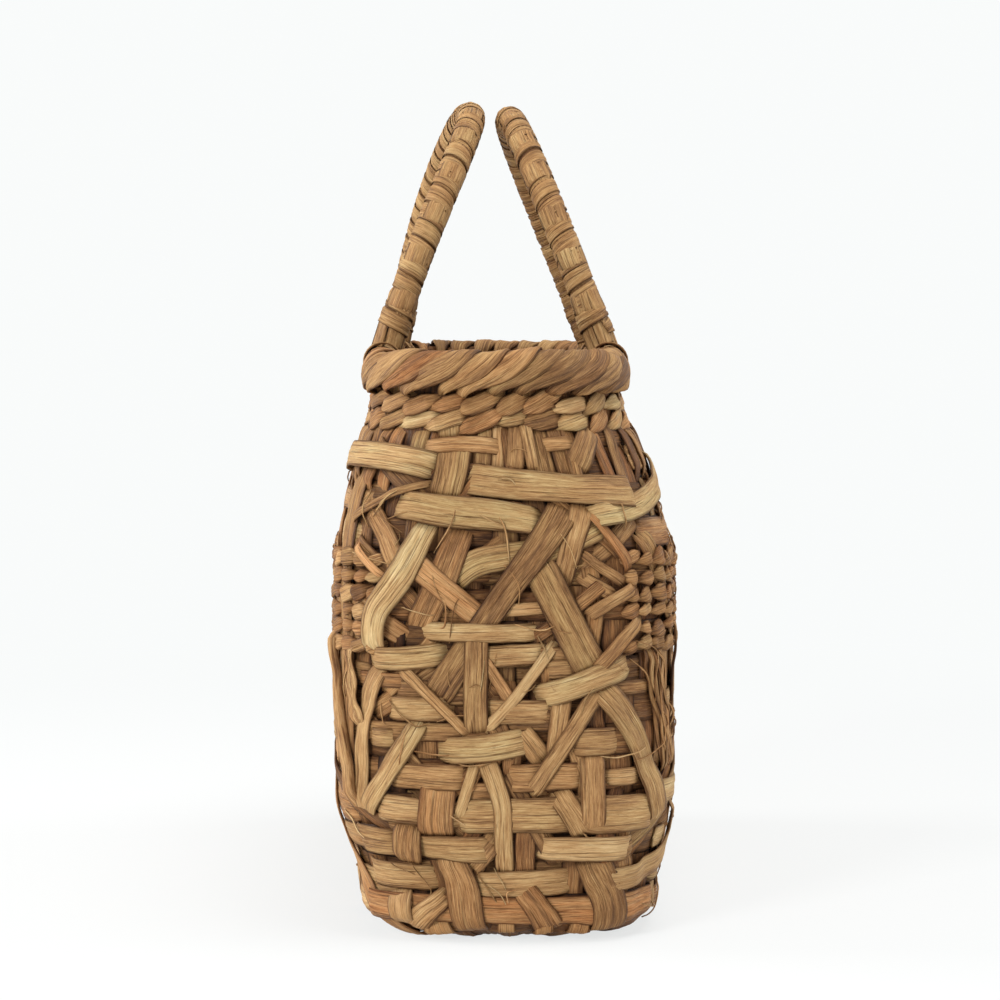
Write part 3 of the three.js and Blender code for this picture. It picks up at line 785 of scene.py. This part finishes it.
# The near end's strips, by where the photograph shows them: kind, width, tone, hue and points, in pixels.
# Hue is -1 for reddish bark, 1 for greyish. They are laid in this order, so a later one lies on top.
PHOTO_MIDDLE_X = 504.5
PHOTO_FLOOR_Y = 944.7
MM_PER_PIXEL = 0.404
END_STRIPS = {
    "neck_long": ("level", 17, 0.55, -0.4, (424, 444), (465, 441), (506, 444)),
    "neck_right": ("level", 15, 0.55, -0.3, (535, 442), (576, 441)),
    "shoulder_left": ("level", 26, 0.66, 0.5, (336, 464), (352, 460), (390, 459), (440, 467)),
    "grey_right": ("level", 28, 0.52, 0.8, (450, 579), (480, 558), (544, 546), (600, 520)),
    "short_high": ("level", 14, 0.5, -0.3, (500, 606), (552, 604)),
    "level_9_right": ("level", 22, 0.56, 0.2, (478, 654), (547, 650)),
    "level_8_short": ("level", 18, 0.5, 0.1, (540, 666), (582, 664)),
    "level_7_right": ("level", 24, 0.52, 0.0, (485, 708), (556, 707)),
    "level_6_left": ("level", 20, 0.5, 0.3, (371, 737), (400, 737)),
    "level_6_right": ("level", 28, 0.5, 0.1, (568, 740), (618, 740)),
    "level_5_left": ("level", 27, 0.5, -0.2, (390, 771), (468, 775)),
    "level_5_right": ("level", 28, 0.48, -0.3, (505, 775), (585, 774)),
    "level_5_corner": ("level", 18, 0.48, -0.1, (603, 776), (640, 776)),
    "level_4_left": ("level", 26, 0.55, 0.0, (378, 806), (464, 812)),
    "level_4": ("level", 34, 0.55, 0.3, (456, 812), (550, 810), (650, 812)),
    "level_4_corner": ("level", 24, 0.7, 0.4, (650, 796), (676, 794)),
    "level_3_left": ("level", 33, 0.53, 0.1, (360, 840), (400, 842)),
    "level_1": ("level", 27, 0.5, -0.9, (375, 909), (510, 912), (649, 908)),
    "neck_upright_a": ("upright", 22, 0.52, 0.1, (450, 408), (450, 436)),
    "neck_upright_b": ("upright", 18, 0.5, -0.1, (517, 420), (515, 470)),
    "neck_upright_c": ("upright", 14, 0.52, -0.1, (524, 420), (534, 470)),
    "neck_upright_d": ("upright", 22, 0.48, 0.1, (587, 425), (574, 468)),
    "brown_upright": ("upright", 30, 0.42, -0.3, (462, 524), (445, 570), (420, 624)),
    "upright_right": ("upright", 22, 0.5, -0.1, (581, 499), (572, 540), (562, 584)),
    "level_4_cross": ("upright", 38, 0.47, -0.5, (438, 780), (437, 836)),
    "left_mat": ("slanting", 20, 0.5, -0.3, (372, 506), (390, 540), (404, 574)),
    "left_thin": ("slanting", 9, 0.58, -0.9, (360, 541), (388, 576)),
    "fibrous": ("slanting", 25, 0.58, -0.7, (408, 555), (452, 590), (484, 616)),
    "red_right": ("slanting", 12, 0.48, -0.9, (586, 508), (628, 566)),
    "dark_right": ("slanting", 11, 0.36, -0.1, (578, 548), (623, 582)),
    "left_hair": ("slanting", 9, 0.45, 0.1, (436, 479), (391, 494), (354, 523)),
    "level_7_left": ("level", 26, 0.57, 0.1, (390, 708), (453, 708)),
    "thin_b": ("slanting", 12, 0.5, -0.2, (402, 664), (470, 734)),
    "left_edge": ("upright", 19, 0.58, 0.1, (383, 664), (371, 700), (364, 750), (363, 815)),
    "pale_bow": ("slanting", 26, 0.61, 0.4, (431, 520), (408, 565), (382, 610), (379, 652)),
    "level_9_left": ("level", 24, 0.56, 0.4, (374, 657), (405, 656), (446, 651)),
    "broad_right": ("slanting", 35, 0.45, 0.5, (536, 558), (564, 612), (594, 670)),
    "long_brown": ("slanting", 28, 0.42, 0.2, (563, 500), (525, 560), (490, 610), (455, 665), (436, 696)),
    "shoulder_right": ("slanting", 24, 0.6, 0.7, (585, 515), (625, 508), (650, 482), (643, 452)),
    "level_13": ("level", 34, 0.56, 0.4, (461, 476), (510, 482), (560, 486), (632, 493)),
    "level_12": ("level", 30, 0.54, 0.6, (400, 500), (450, 508), (500, 513), (540, 519)),
    "shoulder_upright": ("upright", 34, 0.52, 0.4, (453, 444), (450, 470), (444, 495)),
    "up_right": ("slanting", 15, 0.55, -0.2, (588, 615), (634, 583)),
    "thin_a": ("slanting", 12, 0.5, -0.5, (480, 649), (514, 702)),
    "thin_low": ("slanting", 12, 0.58, 0.1, (478, 757), (457, 820)),
    "pale_thin": ("slanting", 13, 0.68, 0.1, (482, 730), (518, 690), (554, 640)),
    "trapeze": ("upright", 24, 0.46, 0.1, (477, 626), (475, 700), (476, 732)),
    "level_10": ("level", 20, 0.6, 0.2, (422, 630), (480, 628), (537, 627)),
    "centre_upright": ("upright", 20, 0.5, 0.1, (488, 755), (503, 800), (504, 836), (505, 876)),
    "left_slant": ("slanting", 20, 0.55, 0.4, (420, 717), (396, 760), (369, 816)),
    "cross_6": ("slanting", 24, 0.5, -0.1, (518, 721), (546, 759)),
    "level_6": ("level", 28, 0.55, 0.5, (440, 747), (485, 745), (532, 736)),
    "upright_mid": ("upright", 20, 0.45, -0.1, (564, 690), (555, 756)),
    "down_right": ("slanting", 19, 0.5, 0.0, (600, 684), (565, 738), (528, 794)),
    "low_right": ("slanting", 25, 0.5, 0.0, (557, 788), (572, 810), (588, 836)),
    "upright_low": ("upright", 24, 0.48, -0.2, (592, 750), (592, 833)),
    "right_slant": ("slanting", 27, 0.5, 0.4, (599, 682), (638, 740), (655, 825)),
    "level_8": ("level", 24, 0.62, 0.5, (537, 692), (575, 682), (627, 663)),
    "up_right_b": ("slanting", 14, 0.52, -0.2, (594, 668), (638, 616)),
    "thin_bottom": ("slanting", 16, 0.5, 0.0, (496, 836), (468, 872)),
    "level_3": ("level", 28, 0.53, 0.2, (417, 844), (495, 844)),
    "level_3_right": ("level", 26, 0.6, 0.0, (536, 846), (628, 846)),
    "upright_bottom": ("upright", 26, 0.45, -0.2, (408, 821), (407, 864)),
    "level_2_left": ("level", 30, 0.54, 0.2, (374, 878), (440, 879)),
    "level_2": ("level", 27, 0.52, 0.0, (472, 885), (520, 884), (574, 881)),
    "level_2_corner": ("level", 27, 0.55, 0.1, (590, 881), (636, 876), (662, 854), (669, 808)),
    "wide_bottom": ("upright", 34, 0.48, -0.3, (452, 856), (464, 892), (469, 934)),
    "dark_bottom": ("upright", 32, 0.38, 0.0, (590, 856), (604, 895), (610, 932)),
    "corner_bottom": ("slanting", 20, 0.52, -0.2, (404, 930), (425, 912), (448, 894)),
    "stub_a": ("upright", 26, 0.5, -0.4, (434, 922), (436, 936)),
    "stub_b": ("upright", 20, 0.5, -0.4, (506, 922), (506, 938)),
    "stub_c": ("upright", 26, 0.5, -0.5, (522, 886), (560, 934)),
    "stub_d": ("upright", 20, 0.5, -0.5, (546, 921), (548, 937)),
    "stub_e": ("upright", 20, 0.5, -0.4, (583, 921), (585, 936)),
    "knob": ("upright", 26, 0.56, -0.1, (402, 893), (403, 926)),
    "far_left": ("upright", 16, 0.5, -0.2, (343, 632), (345, 690), (351, 745), (358, 806)),
    "far_right": ("upright", 10, 0.45, 0.2, (666, 618), (667, 680), (665, 730)),
}
LIFTED = {  # how far the middle of a strip stands off, in mm
    "shoulder_left": 2.6,
    "shoulder_right": 1.6,
    "level_2_corner": 0.9,
    "pale_bow": 0.8,
    "level_3_right": 1.0,
}
ROUNDED = {"far_left": (3.4, 0.9)}  # strips with a rounder section: thickness and crown
MATS = {  # loose nets of thin fibres: width in pixels and points
    "mat_left": (17, [(353, 640), (356, 690), (362, 730)]),
    "mat_right": (20, [(652, 650), (654, 690), (660, 735), (664, 778)]),
}
MAT_FIBRES = 8


def photo_place(x, y):
    """The place on the near end's wall that a pixel of the photograph shows."""
    return end_place((x - PHOTO_MIDDLE_X) * MM_PER_PIXEL, max(0.4, (PHOTO_FLOOR_Y - y) * MM_PER_PIXEL))


for name, (kind, width, tone, hue, *pixels) in END_STRIPS.items():
    light = 0.53 + 1.25 * (tone - 0.5) + rng.normal(0, 0.03)
    tint = np.clip([light, 0.12 + max(-hue, 0), 0.15 + max(hue, 0)], 0, 1)
    points = [photo_place(*pixel) for pixel in pixels]
    lift = LIFTED.get(name, rng.uniform(0, 0.6))
    thickness, crown = ROUNDED.get(name, (1.0, 0.45))
    folds = int(rng.integers(1, 3))
    how = {"thickness": thickness, "crown": crown, "folds": folds, "lift": lift}
    lay_outer(kind, points, width * MM_PER_PIXEL, tint, **how)

for width, pixels in MATS.values():
    middle = smooth_line([photo_place(*pixel) for pixel in pixels], 6)
    t = np.linspace(0, 1, len(middle))
    for fibre in range(MAT_FIBRES):
        sway = np.sin(rng.uniform(3, 6) * math.pi * t + rng.uniform(0, 6.3))
        side = (fibre + 0.5) / MAT_FIBRES - 0.5 + 0.13 * sway
        points = paired(middle[:, 0] + width * MM_PER_PIXEL * side, middle[:, 1])
        how = {"thickness": 0.7, "folds": 0, "step": 1.5}
        lay_outer("upright", points, rng.uniform(1.8, 2.6), random_tint(0.5), **how)

outer_nodes = [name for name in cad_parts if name.startswith(("diagonal_", "upright_"))]
for (face, kind), piece in outer.items():
    stem = {"level": "none", "upright": "upright_", "slanting": "diagonal_"}[kind]
    nodes = [name for name in outer_nodes if name.startswith(stem) and name.endswith(face)]
    wall_pieces.append((piece, f"strips_{kind}_{face}", "strip_bark", nodes))

# Neck twining: two rows of stitches right round, over the uprights' ends
NECK_STITCH = {"pitch": 12.6, "length": 18.0, "rise": 3.4, "tone": 0.59, "thickness": 1.2, "spread": 1.3}
for name, level, width in (("lower", LOWER_TWINE + 3.2, 8.6), ("upper", UPPER_TWINE + 1.0, 8.0)):
    # the stitches' low parts get painted shade
    row_piece = Piece(wall, (0.0, 2.4))
    twine_stitches(row_piece, 0, PERIMETER, level, width=width, **NECK_STITCH)
    wall_pieces.append((row_piece, f"twining_{name}", "twine_bark", [f"twine_row_{name}"]))

wall.settle()
for piece, *how in wall_pieces:
    piece.build(*how)

# Rim border: strips wrapped slantwise over the hoop, each lying on the one before
RIM_SECTION = [  # out and up from the rim's centre line, in mm, from below outside to below inside
    (2.2, -17), (3.6, -13.5), (4.8, -10.5), (5.5, -7), (6.0, -3.5), (5.5, -0.2), (4.1, 2.4),
    (1.6, 3.9), (-1.2, 3.9), (-3.8, 2.4), (-5.0, -0.6), (-5.0, -4.5), (-4.2, -8.5), (-3.4, -11),
]
RIM_INSET = 1.5  # of the rim's centre line from the wall's outer side
rim_u = np.linspace(0, PERIMETER, 1721)
wall_top, _, _, wall_out = wall.frame(paired(rim_u, WALL_TOP))
rim_line = wall_top - RIM_INSET * wall_out
rim_line[:, 2] = RIM_Z
rim_run = running_length(rim_line)
RIM_LENGTH = rim_run[-1]


def along_rim(q, values):
    return look_up(q % RIM_LENGTH, rim_run, values)


rim_way = unit(np.gradient(rim_line, axis=0))
rim_out = unit(paired(rim_way[:, 1], -rim_way[:, 0], 0))
ROUND_RADIUS = 4.0  # of the rim inside the handles' loops
ROUND_TURN = (math.radians(-68), math.radians(238))
rim_outline = smooth_line(RIM_SECTION)
rim_reach = running_length(rim_outline)
rim_loops = [
    float(rim_run[np.argmin(np.hypot(rim_line[:, 0] - x, rim_line[:, 1] - y))])
    for x in (-LEG_SPACING / 2, LEG_SPACING / 2)
    for y in (RIM_SHIFT - PIVOT_Y, RIM_SHIFT + PIVOT_Y)
]


def rim_point(q, b):
    """A point of the rim's border: q along it, b up its outer side, over its top and down inside."""
    away = [np.abs((q - at + RIM_LENGTH / 2) % RIM_LENGTH - RIM_LENGTH / 2) for at in rim_loops]
    share = smoothstep(np.min(away, axis=0), 5, 23)
    turn = ROUND_TURN[0] + (ROUND_TURN[1] - ROUND_TURN[0]) * b / rim_reach[-1]
    out = share * np.interp(b, rim_reach, rim_outline[:, 0]) + (1 - share) * ROUND_RADIUS * np.cos(turn)
    up = share * np.interp(b, rim_reach, rim_outline[:, 1]) + (1 - share) * ROUND_RADIUS * np.sin(turn)
    return along_rim(q, rim_line) + along_rim(q, rim_out) * out[..., None] + UP * up[..., None]


rim = Skin(rim_point, RIM_LENGTH, 0, rim_reach[-1], ceiling=1.5, edge_power=7)
WRAPS = 61
WRAP_START = -1.0
# How far up and over the rim a wrap comes, in mm, and how far along it, as a share of its slant
WRAP_WAY = ((6.5, -0.97), (10, -0.74), (14, -0.2), (19, 0.45), (25, 0.9), (32, 1.15), (39, 1.3))
# the wraps' low ends and the notches between them get painted shade
wraps = Piece(rim, (0.0, 1.5))
for k in range(WRAPS + 1):
    q = k * RIM_LENGTH / WRAPS + rng.normal(0, 0.7)
    slant = rng.uniform(12.0, 15.0)
    low = rng.uniform(2.0, 4.5)
    points = [(q + slant * shift, b) for b, shift in ((low, WRAP_START), *WRAP_WAY)]
    width = rng.uniform(9.5, 11.5)
    tint = random_tint(0.43, red=0.25, grey=0.35)
    lay_strip(
        rim, wraps, points, width, tint, 1.5, folds=int(rng.integers(1, 3)), reach=1.2, step=1.5, sway=0.25,
        dive=2.8, dive_length=7, narrow=(0.4, 0.5), taper=22, lean=-1.15, crown=0.7,
    )
rim.settle()
wraps.build("rim_wraps", "rim_bark", ["rim_border"])
HOOP_RADIUS = 3.2
hoop = Piece()
hoop_at = rim_run[::12][:-1]
hoop_turn = np.linspace(0, 2 * math.pi, 12, endpoint=False)
hoop_out = along_rim(hoop_at, rim_out)[:, None] * np.cos(hoop_turn)[None, :, None]
hoop_arm = hoop_out + UP * np.sin(hoop_turn)[None, :, None]
hoop_rings = along_rim(hoop_at, rim_line)[:, None] + HOOP_RADIUS * hoop_arm
hoop_fibre = paired(hoop_at[:, None], HOOP_RADIUS * hoop_turn)
hoop.add(hoop_rings, hoop_fibre, random_tint(0.3), np.zeros(hoop_fibre.shape[:2]), closed=True)
hoop.build("rim_vine", "vine", ["rim_hoop"])

# Handles: a bent vine, a strip of bark wound round it and short lengthwise strips under some turns
WIND_RADIUS = 6.0
WIND_PITCH = 8.0
LOOP_RADIUS = 7.3
LOOP_OFFSETS = (-3.6, 3.6)  # of a root loop's two strips, along the rim
ROOT_STRIPS = 5  # strips along each leg's root that come out of the winding
ROOT_BARE = 4.0  # how much of each leg's end isn't wound
PATCH_SPACING = 2.5 * WIND_PITCH
PATCH_START = 12.0  # how far from each leg's end the strips under single turns are left out


def handle_skin(sign, lean, twist, bow):
    """The handle's round surface: a runs round it, b along it from the far leg to the near one."""
    root = math.asin((ROOT_REACH / HANDLE_HEIGHT) ** (ARCH_POWER / 2))
    angle = np.linspace(root, math.pi - root, 601)
    across = -np.sign(np.cos(angle)) * np.abs(np.cos(angle)) ** (2 / ARCH_POWER)
    rise = np.sin(angle) ** (2 / ARCH_POWER)
    out = twist * across * rise + 4 * sign * bow * rise * (1 - rise)
    turn = math.radians(sign * lean)
    height = HANDLE_HEIGHT * rise
    line = paired(
        across * LEG_SPACING / 2,
        out * math.cos(turn) - height * math.sin(turn) + RIM_SHIFT + sign * PIVOT_Y,
        out * math.sin(turn) + height * math.cos(turn) + RIM_Z,
    )
    run = running_length(line)
    way = unit(np.gradient(line, axis=0))
    up = unit(np.cross([0, math.cos(turn), math.sin(turn)], way))
    flat = np.cross(way, up)

    def point(a, b):
        angle = (-a / WIND_RADIUS)[..., None]
        arm = look_up(b, run, flat) * np.cos(angle) + look_up(b, run, up) * np.sin(angle)
        beyond = look_up(b, run, way) * (b - np.clip(b, 0, run[-1]))[..., None]
        return look_up(b, run, line) + WIND_RADIUS * arm + beyond

    return Skin(point, 2 * math.pi * WIND_RADIUS, -6, run[-1] + 6, ceiling=2.0, edge_power=10), run[-1]


def loop_skin(sign, x):
    """The round surface of a handle's root loop: a runs round the rim, b along it."""

    def point(a, b):
        angle = -a / LOOP_RADIUS
        y = RIM_SHIFT + sign * PIVOT_Y + LOOP_RADIUS * np.sin(angle)
        return paired(x + b, y, RIM_Z + LOOP_RADIUS * np.cos(angle))

    return Skin(point, 2 * math.pi * LOOP_RADIUS, -14, 14, ceiling=2.2, edge_power=10)


for side, shape in HANDLES.items():
    body = f"handle_{side}"
    skin, length = handle_skin(**shape)
    direction = shape["sign"]
    turns = np.arange(ROOT_BARE / WIND_PITCH, (length - ROOT_BARE) / WIND_PITCH, 1 / 12)
    rise = turns * WIND_PITCH + wander(turns * WIND_PITCH, 14, 0.7)
    patches = Piece()
    for end, away in ((0, -1), (length, 1)):
        for k in range(ROOT_STRIPS):
            a = (k + rng.uniform(-0.1, 0.1)) * skin.turn / ROOT_STRIPS
            tip = 2.0 + 3.0 * math.cos(a / WIND_RADIUS) ** 2
            points = [(a, end - 16 * away), (a + rng.normal(0, 0.4), end - 6 * away), (a, end + tip * away)]
            tint = random_tint(0.52, grey=0.4, spread=0.4)
            lay_strip(
                skin, patches, points, 8.4, tint, 0.45, tuck=(1, 0), reach=0.8, step=0.9, sway=0.15,
                dive=0.4, dive_length=5, narrow=(0.7, 1.0), crown=0.35,
            )
    winding = Piece()
    path = paired(direction * turns * skin.turn, rise - 1)
    tint = random_tint(0.54, red=0.2, grey=0.5, spread=0.3)
    lay_strip(
        skin, winding, path[::2], WIND_PITCH * 1.25, tint, 0.3, tuck=(0, 0), folds=5, step=2.0,
        lean=0.16 * direction, sway=0.1, crown=0.25, dive=0,
    )
    winding.build(f"handle_winding_{side}", "wrap_bark", [f"handle_wrap_{side}"], body)
    for low in np.arange(PATCH_START, length - PATCH_START, PATCH_SPACING):
        a = (math.pi / 2 + rng.normal(0, 0.2)) * WIND_RADIUS
        start = low + rng.normal(0, 0.5)
        points = [(a, start), (a, start + 5), (a, start + 9.5)]
        tint = random_tint(0.55, grey=0.5, spread=0.35)
        lay_strip(
            skin, patches, points, 14.0, tint, 0.14, folds=2, reach=0.6, step=0.8, sway=0.1, dive=0.6,
            dive_length=1.5, narrow=(0.95, 0.95), crown=0.2,
        )
    patches.build(f"handle_patches_{side}", "wrap_bark", body=body)
    for end, x in (("near", LEG_SPACING / 2), ("far", -LEG_SPACING / 2)):
        loop = Piece()
        around = loop_skin(direction, x)
        for b in LOOP_OFFSETS:
            turn = np.linspace(0, around.turn * 1.1, 14)
            points = paired(turn + rng.uniform(0, 30), b + np.linspace(-0.8, 0.8, 14))
            how = {"thickness": 0.8, "step": 1.8, "lean": 0.3, "sway": 0.2, "dive": 0.7}
            lay_strip(around, loop, points, 8.0, random_tint(0.54), **how)
        loop.build(f"handle_root_{side}_{end}", "wrap_bark", [f"handle_loop_{side}_{end}"], body)
    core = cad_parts[f"handle_core_{side}"].data
    core.materials.clear()
    core.materials.append(bark["vine"])

# Loose fibres that have come off the strips' edges
LOOSE_FIBRES = 260
fibres = Piece()
for _ in range(LOOSE_FIBRES):
    u, s = rng.uniform(0, PERIMETER), rng.uniform(12, NECK_LOW)
    slope, half = rng.uniform(0, math.pi), rng.uniform(4, 11)
    points = random_line(u, s, slope, half, *rng.normal(0, 2, 2))
    width = rng.uniform(0.4, 0.75)
    tint = random_tint(0.62)
    lay_strip(
        wall, fibres, points, width, tint, 0.3, folds=0, reach=1.0, step=1.2, sway=0.3, dive=0.6,
        dive_length=3, lift=rng.uniform(0.2, 1.6),
    )
fibres.build("loose_fibres", "strip_bark")


# Floor, backdrop, lights and camera
def camera_seen(n):
    """1 for rays that show the background: to the camera, in a reflection or through glass."""
    rays = n.add("ShaderNodeLightPath").outputs
    seen = n.math("MAXIMUM", rays["Is Camera Ray"], rays["Is Glossy Ray"])
    return n.math("MAXIMUM", seen, rays["Is Transmission Ray"])


BACKDROP = (0.950, 0.966, 0.962, 1.0)
FLOOR_HALF = 6.0  # metres
FLOOR_COLOR = (0.82, 0.83, 0.83, 1)
FLOOR_GLOW = 0.755  # light that the shown floor gives by itself, so shadows on it are pale
FLOOR_LIT = (0.21, 0.21, 0.21, 1)  # and its colour under the lamps
FLOOR_FADE = (0.32, 0.95)  # metres from the bag over which the shown floor turns into the backdrop
WORLD_COLOR = (1.0, 0.99, 0.97, 1)
WORLD_STRENGTH = 0.33
floor_mesh = bpy.data.meshes.new("floor")
floor_corners = [(x * FLOOR_HALF, y * FLOOR_HALF, 0) for x, y in ((-1, -1), (1, -1), (1, 1), (-1, 1))]
floor_mesh.from_pydata(floor_corners, [], [(0, 1, 2, 3)])
floor = new_object("floor", floor_mesh)
floor_material = bpy.data.materials.new("floor_white")
floor_mesh.materials.append(floor_material)
n = Nodes(floor_material)
shader = n.tree.nodes["Principled BSDF"]
n.fill(shader, {"Base Color": FLOOR_COLOR, "Roughness": 0.9, "Specular IOR Level": 0.0})
shown = n.add("ShaderNodeBsdfDiffuse", FLOOR_LIT).outputs[0]
glow = n.add("ShaderNodeEmission", BACKDROP, FLOOR_GLOW).outputs[0]
near = n.add("ShaderNodeAddShader", shown, glow).outputs[0]
distant = n.add("ShaderNodeEmission", BACKDROP, 1.0).outputs[0]
place = n.add("ShaderNodeNewGeometry").outputs["Position"]
distance = n.add("ShaderNodeVectorMath", place, operation="LENGTH").outputs["Value"]
both = n.mix_shader(n.range(distance, *FLOOR_FADE), near, distant)
surface = n.mix_shader(camera_seen(n), shader.outputs[0], both)
n.link(surface, n.tree.nodes["Material Output"].inputs["Surface"])

world = bpy.data.worlds.new("studio")
bpy.context.scene.world = world
n = Nodes(world)
soft = n.tree.nodes["Background"]
n.fill(soft, {"Color": WORLD_COLOR, "Strength": WORLD_STRENGTH})
white = n.add("ShaderNodeBackground", BACKDROP, 1.0).outputs[0]
surface = n.mix_shader(camera_seen(n), soft.outputs[0], white)
n.link(surface, n.tree.nodes["World Output"].inputs["Surface"])


def aimed_object(name, data, place, way):
    """An object at a place, whose -Z side looks along way."""
    made = new_object(name, data)
    made.location = place
    made.rotation_mode = "QUATERNION"
    made.rotation_quaternion = Vector(way).to_track_quat("-Z", "Y")
    return made


LIGHT_AIM = Vector((0, 0, 0.15))  # metres
LIGHTS = {  # place in metres, side in metres and watts
    "above": ((0.3, 0.4, 1.9), 1.0, 21),
    "front": ((1.8, -1.2, 1.0), 0.6, 28),
    "side": ((-0.3, -1.9, 0.9), 0.8, 25),
    "back": ((-0.3, 1.9, 0.9), 1.0, 14),
}
for name, (place, size, watts) in LIGHTS.items():
    light = bpy.data.lights.new(f"light_{name}", "AREA")
    light.shape = "SQUARE"
    light.size = size
    light.energy = watts
    aimed_object(f"light_{name}", light, place, LIGHT_AIM - Vector(place))

CAMERA_PLACE = (1.410, -0.0034, 0.2624)  # metres
CAMERA_PITCH = 3.71
FOCAL_PIXELS = 3108.0
PICTURE_SIDE = 1000.0
RIGHT_OF_AXIS = 4.0  # pixels from the view of the bag's length axis to the picture's middle
SENSOR = 36.0
camera_data = bpy.data.cameras.new("camera")
camera_data.sensor_width = SENSOR
camera_data.lens = SENSOR * FOCAL_PIXELS / PICTURE_SIDE
camera_way = (-1, RIGHT_OF_AXIS / FOCAL_PIXELS, -math.tan(math.radians(CAMERA_PITCH)))
bpy.context.scene.camera = aimed_object("camera", camera_data, CAMERA_PLACE, camera_way)
bpy.context.scene.view_settings.view_transform = "Standard"
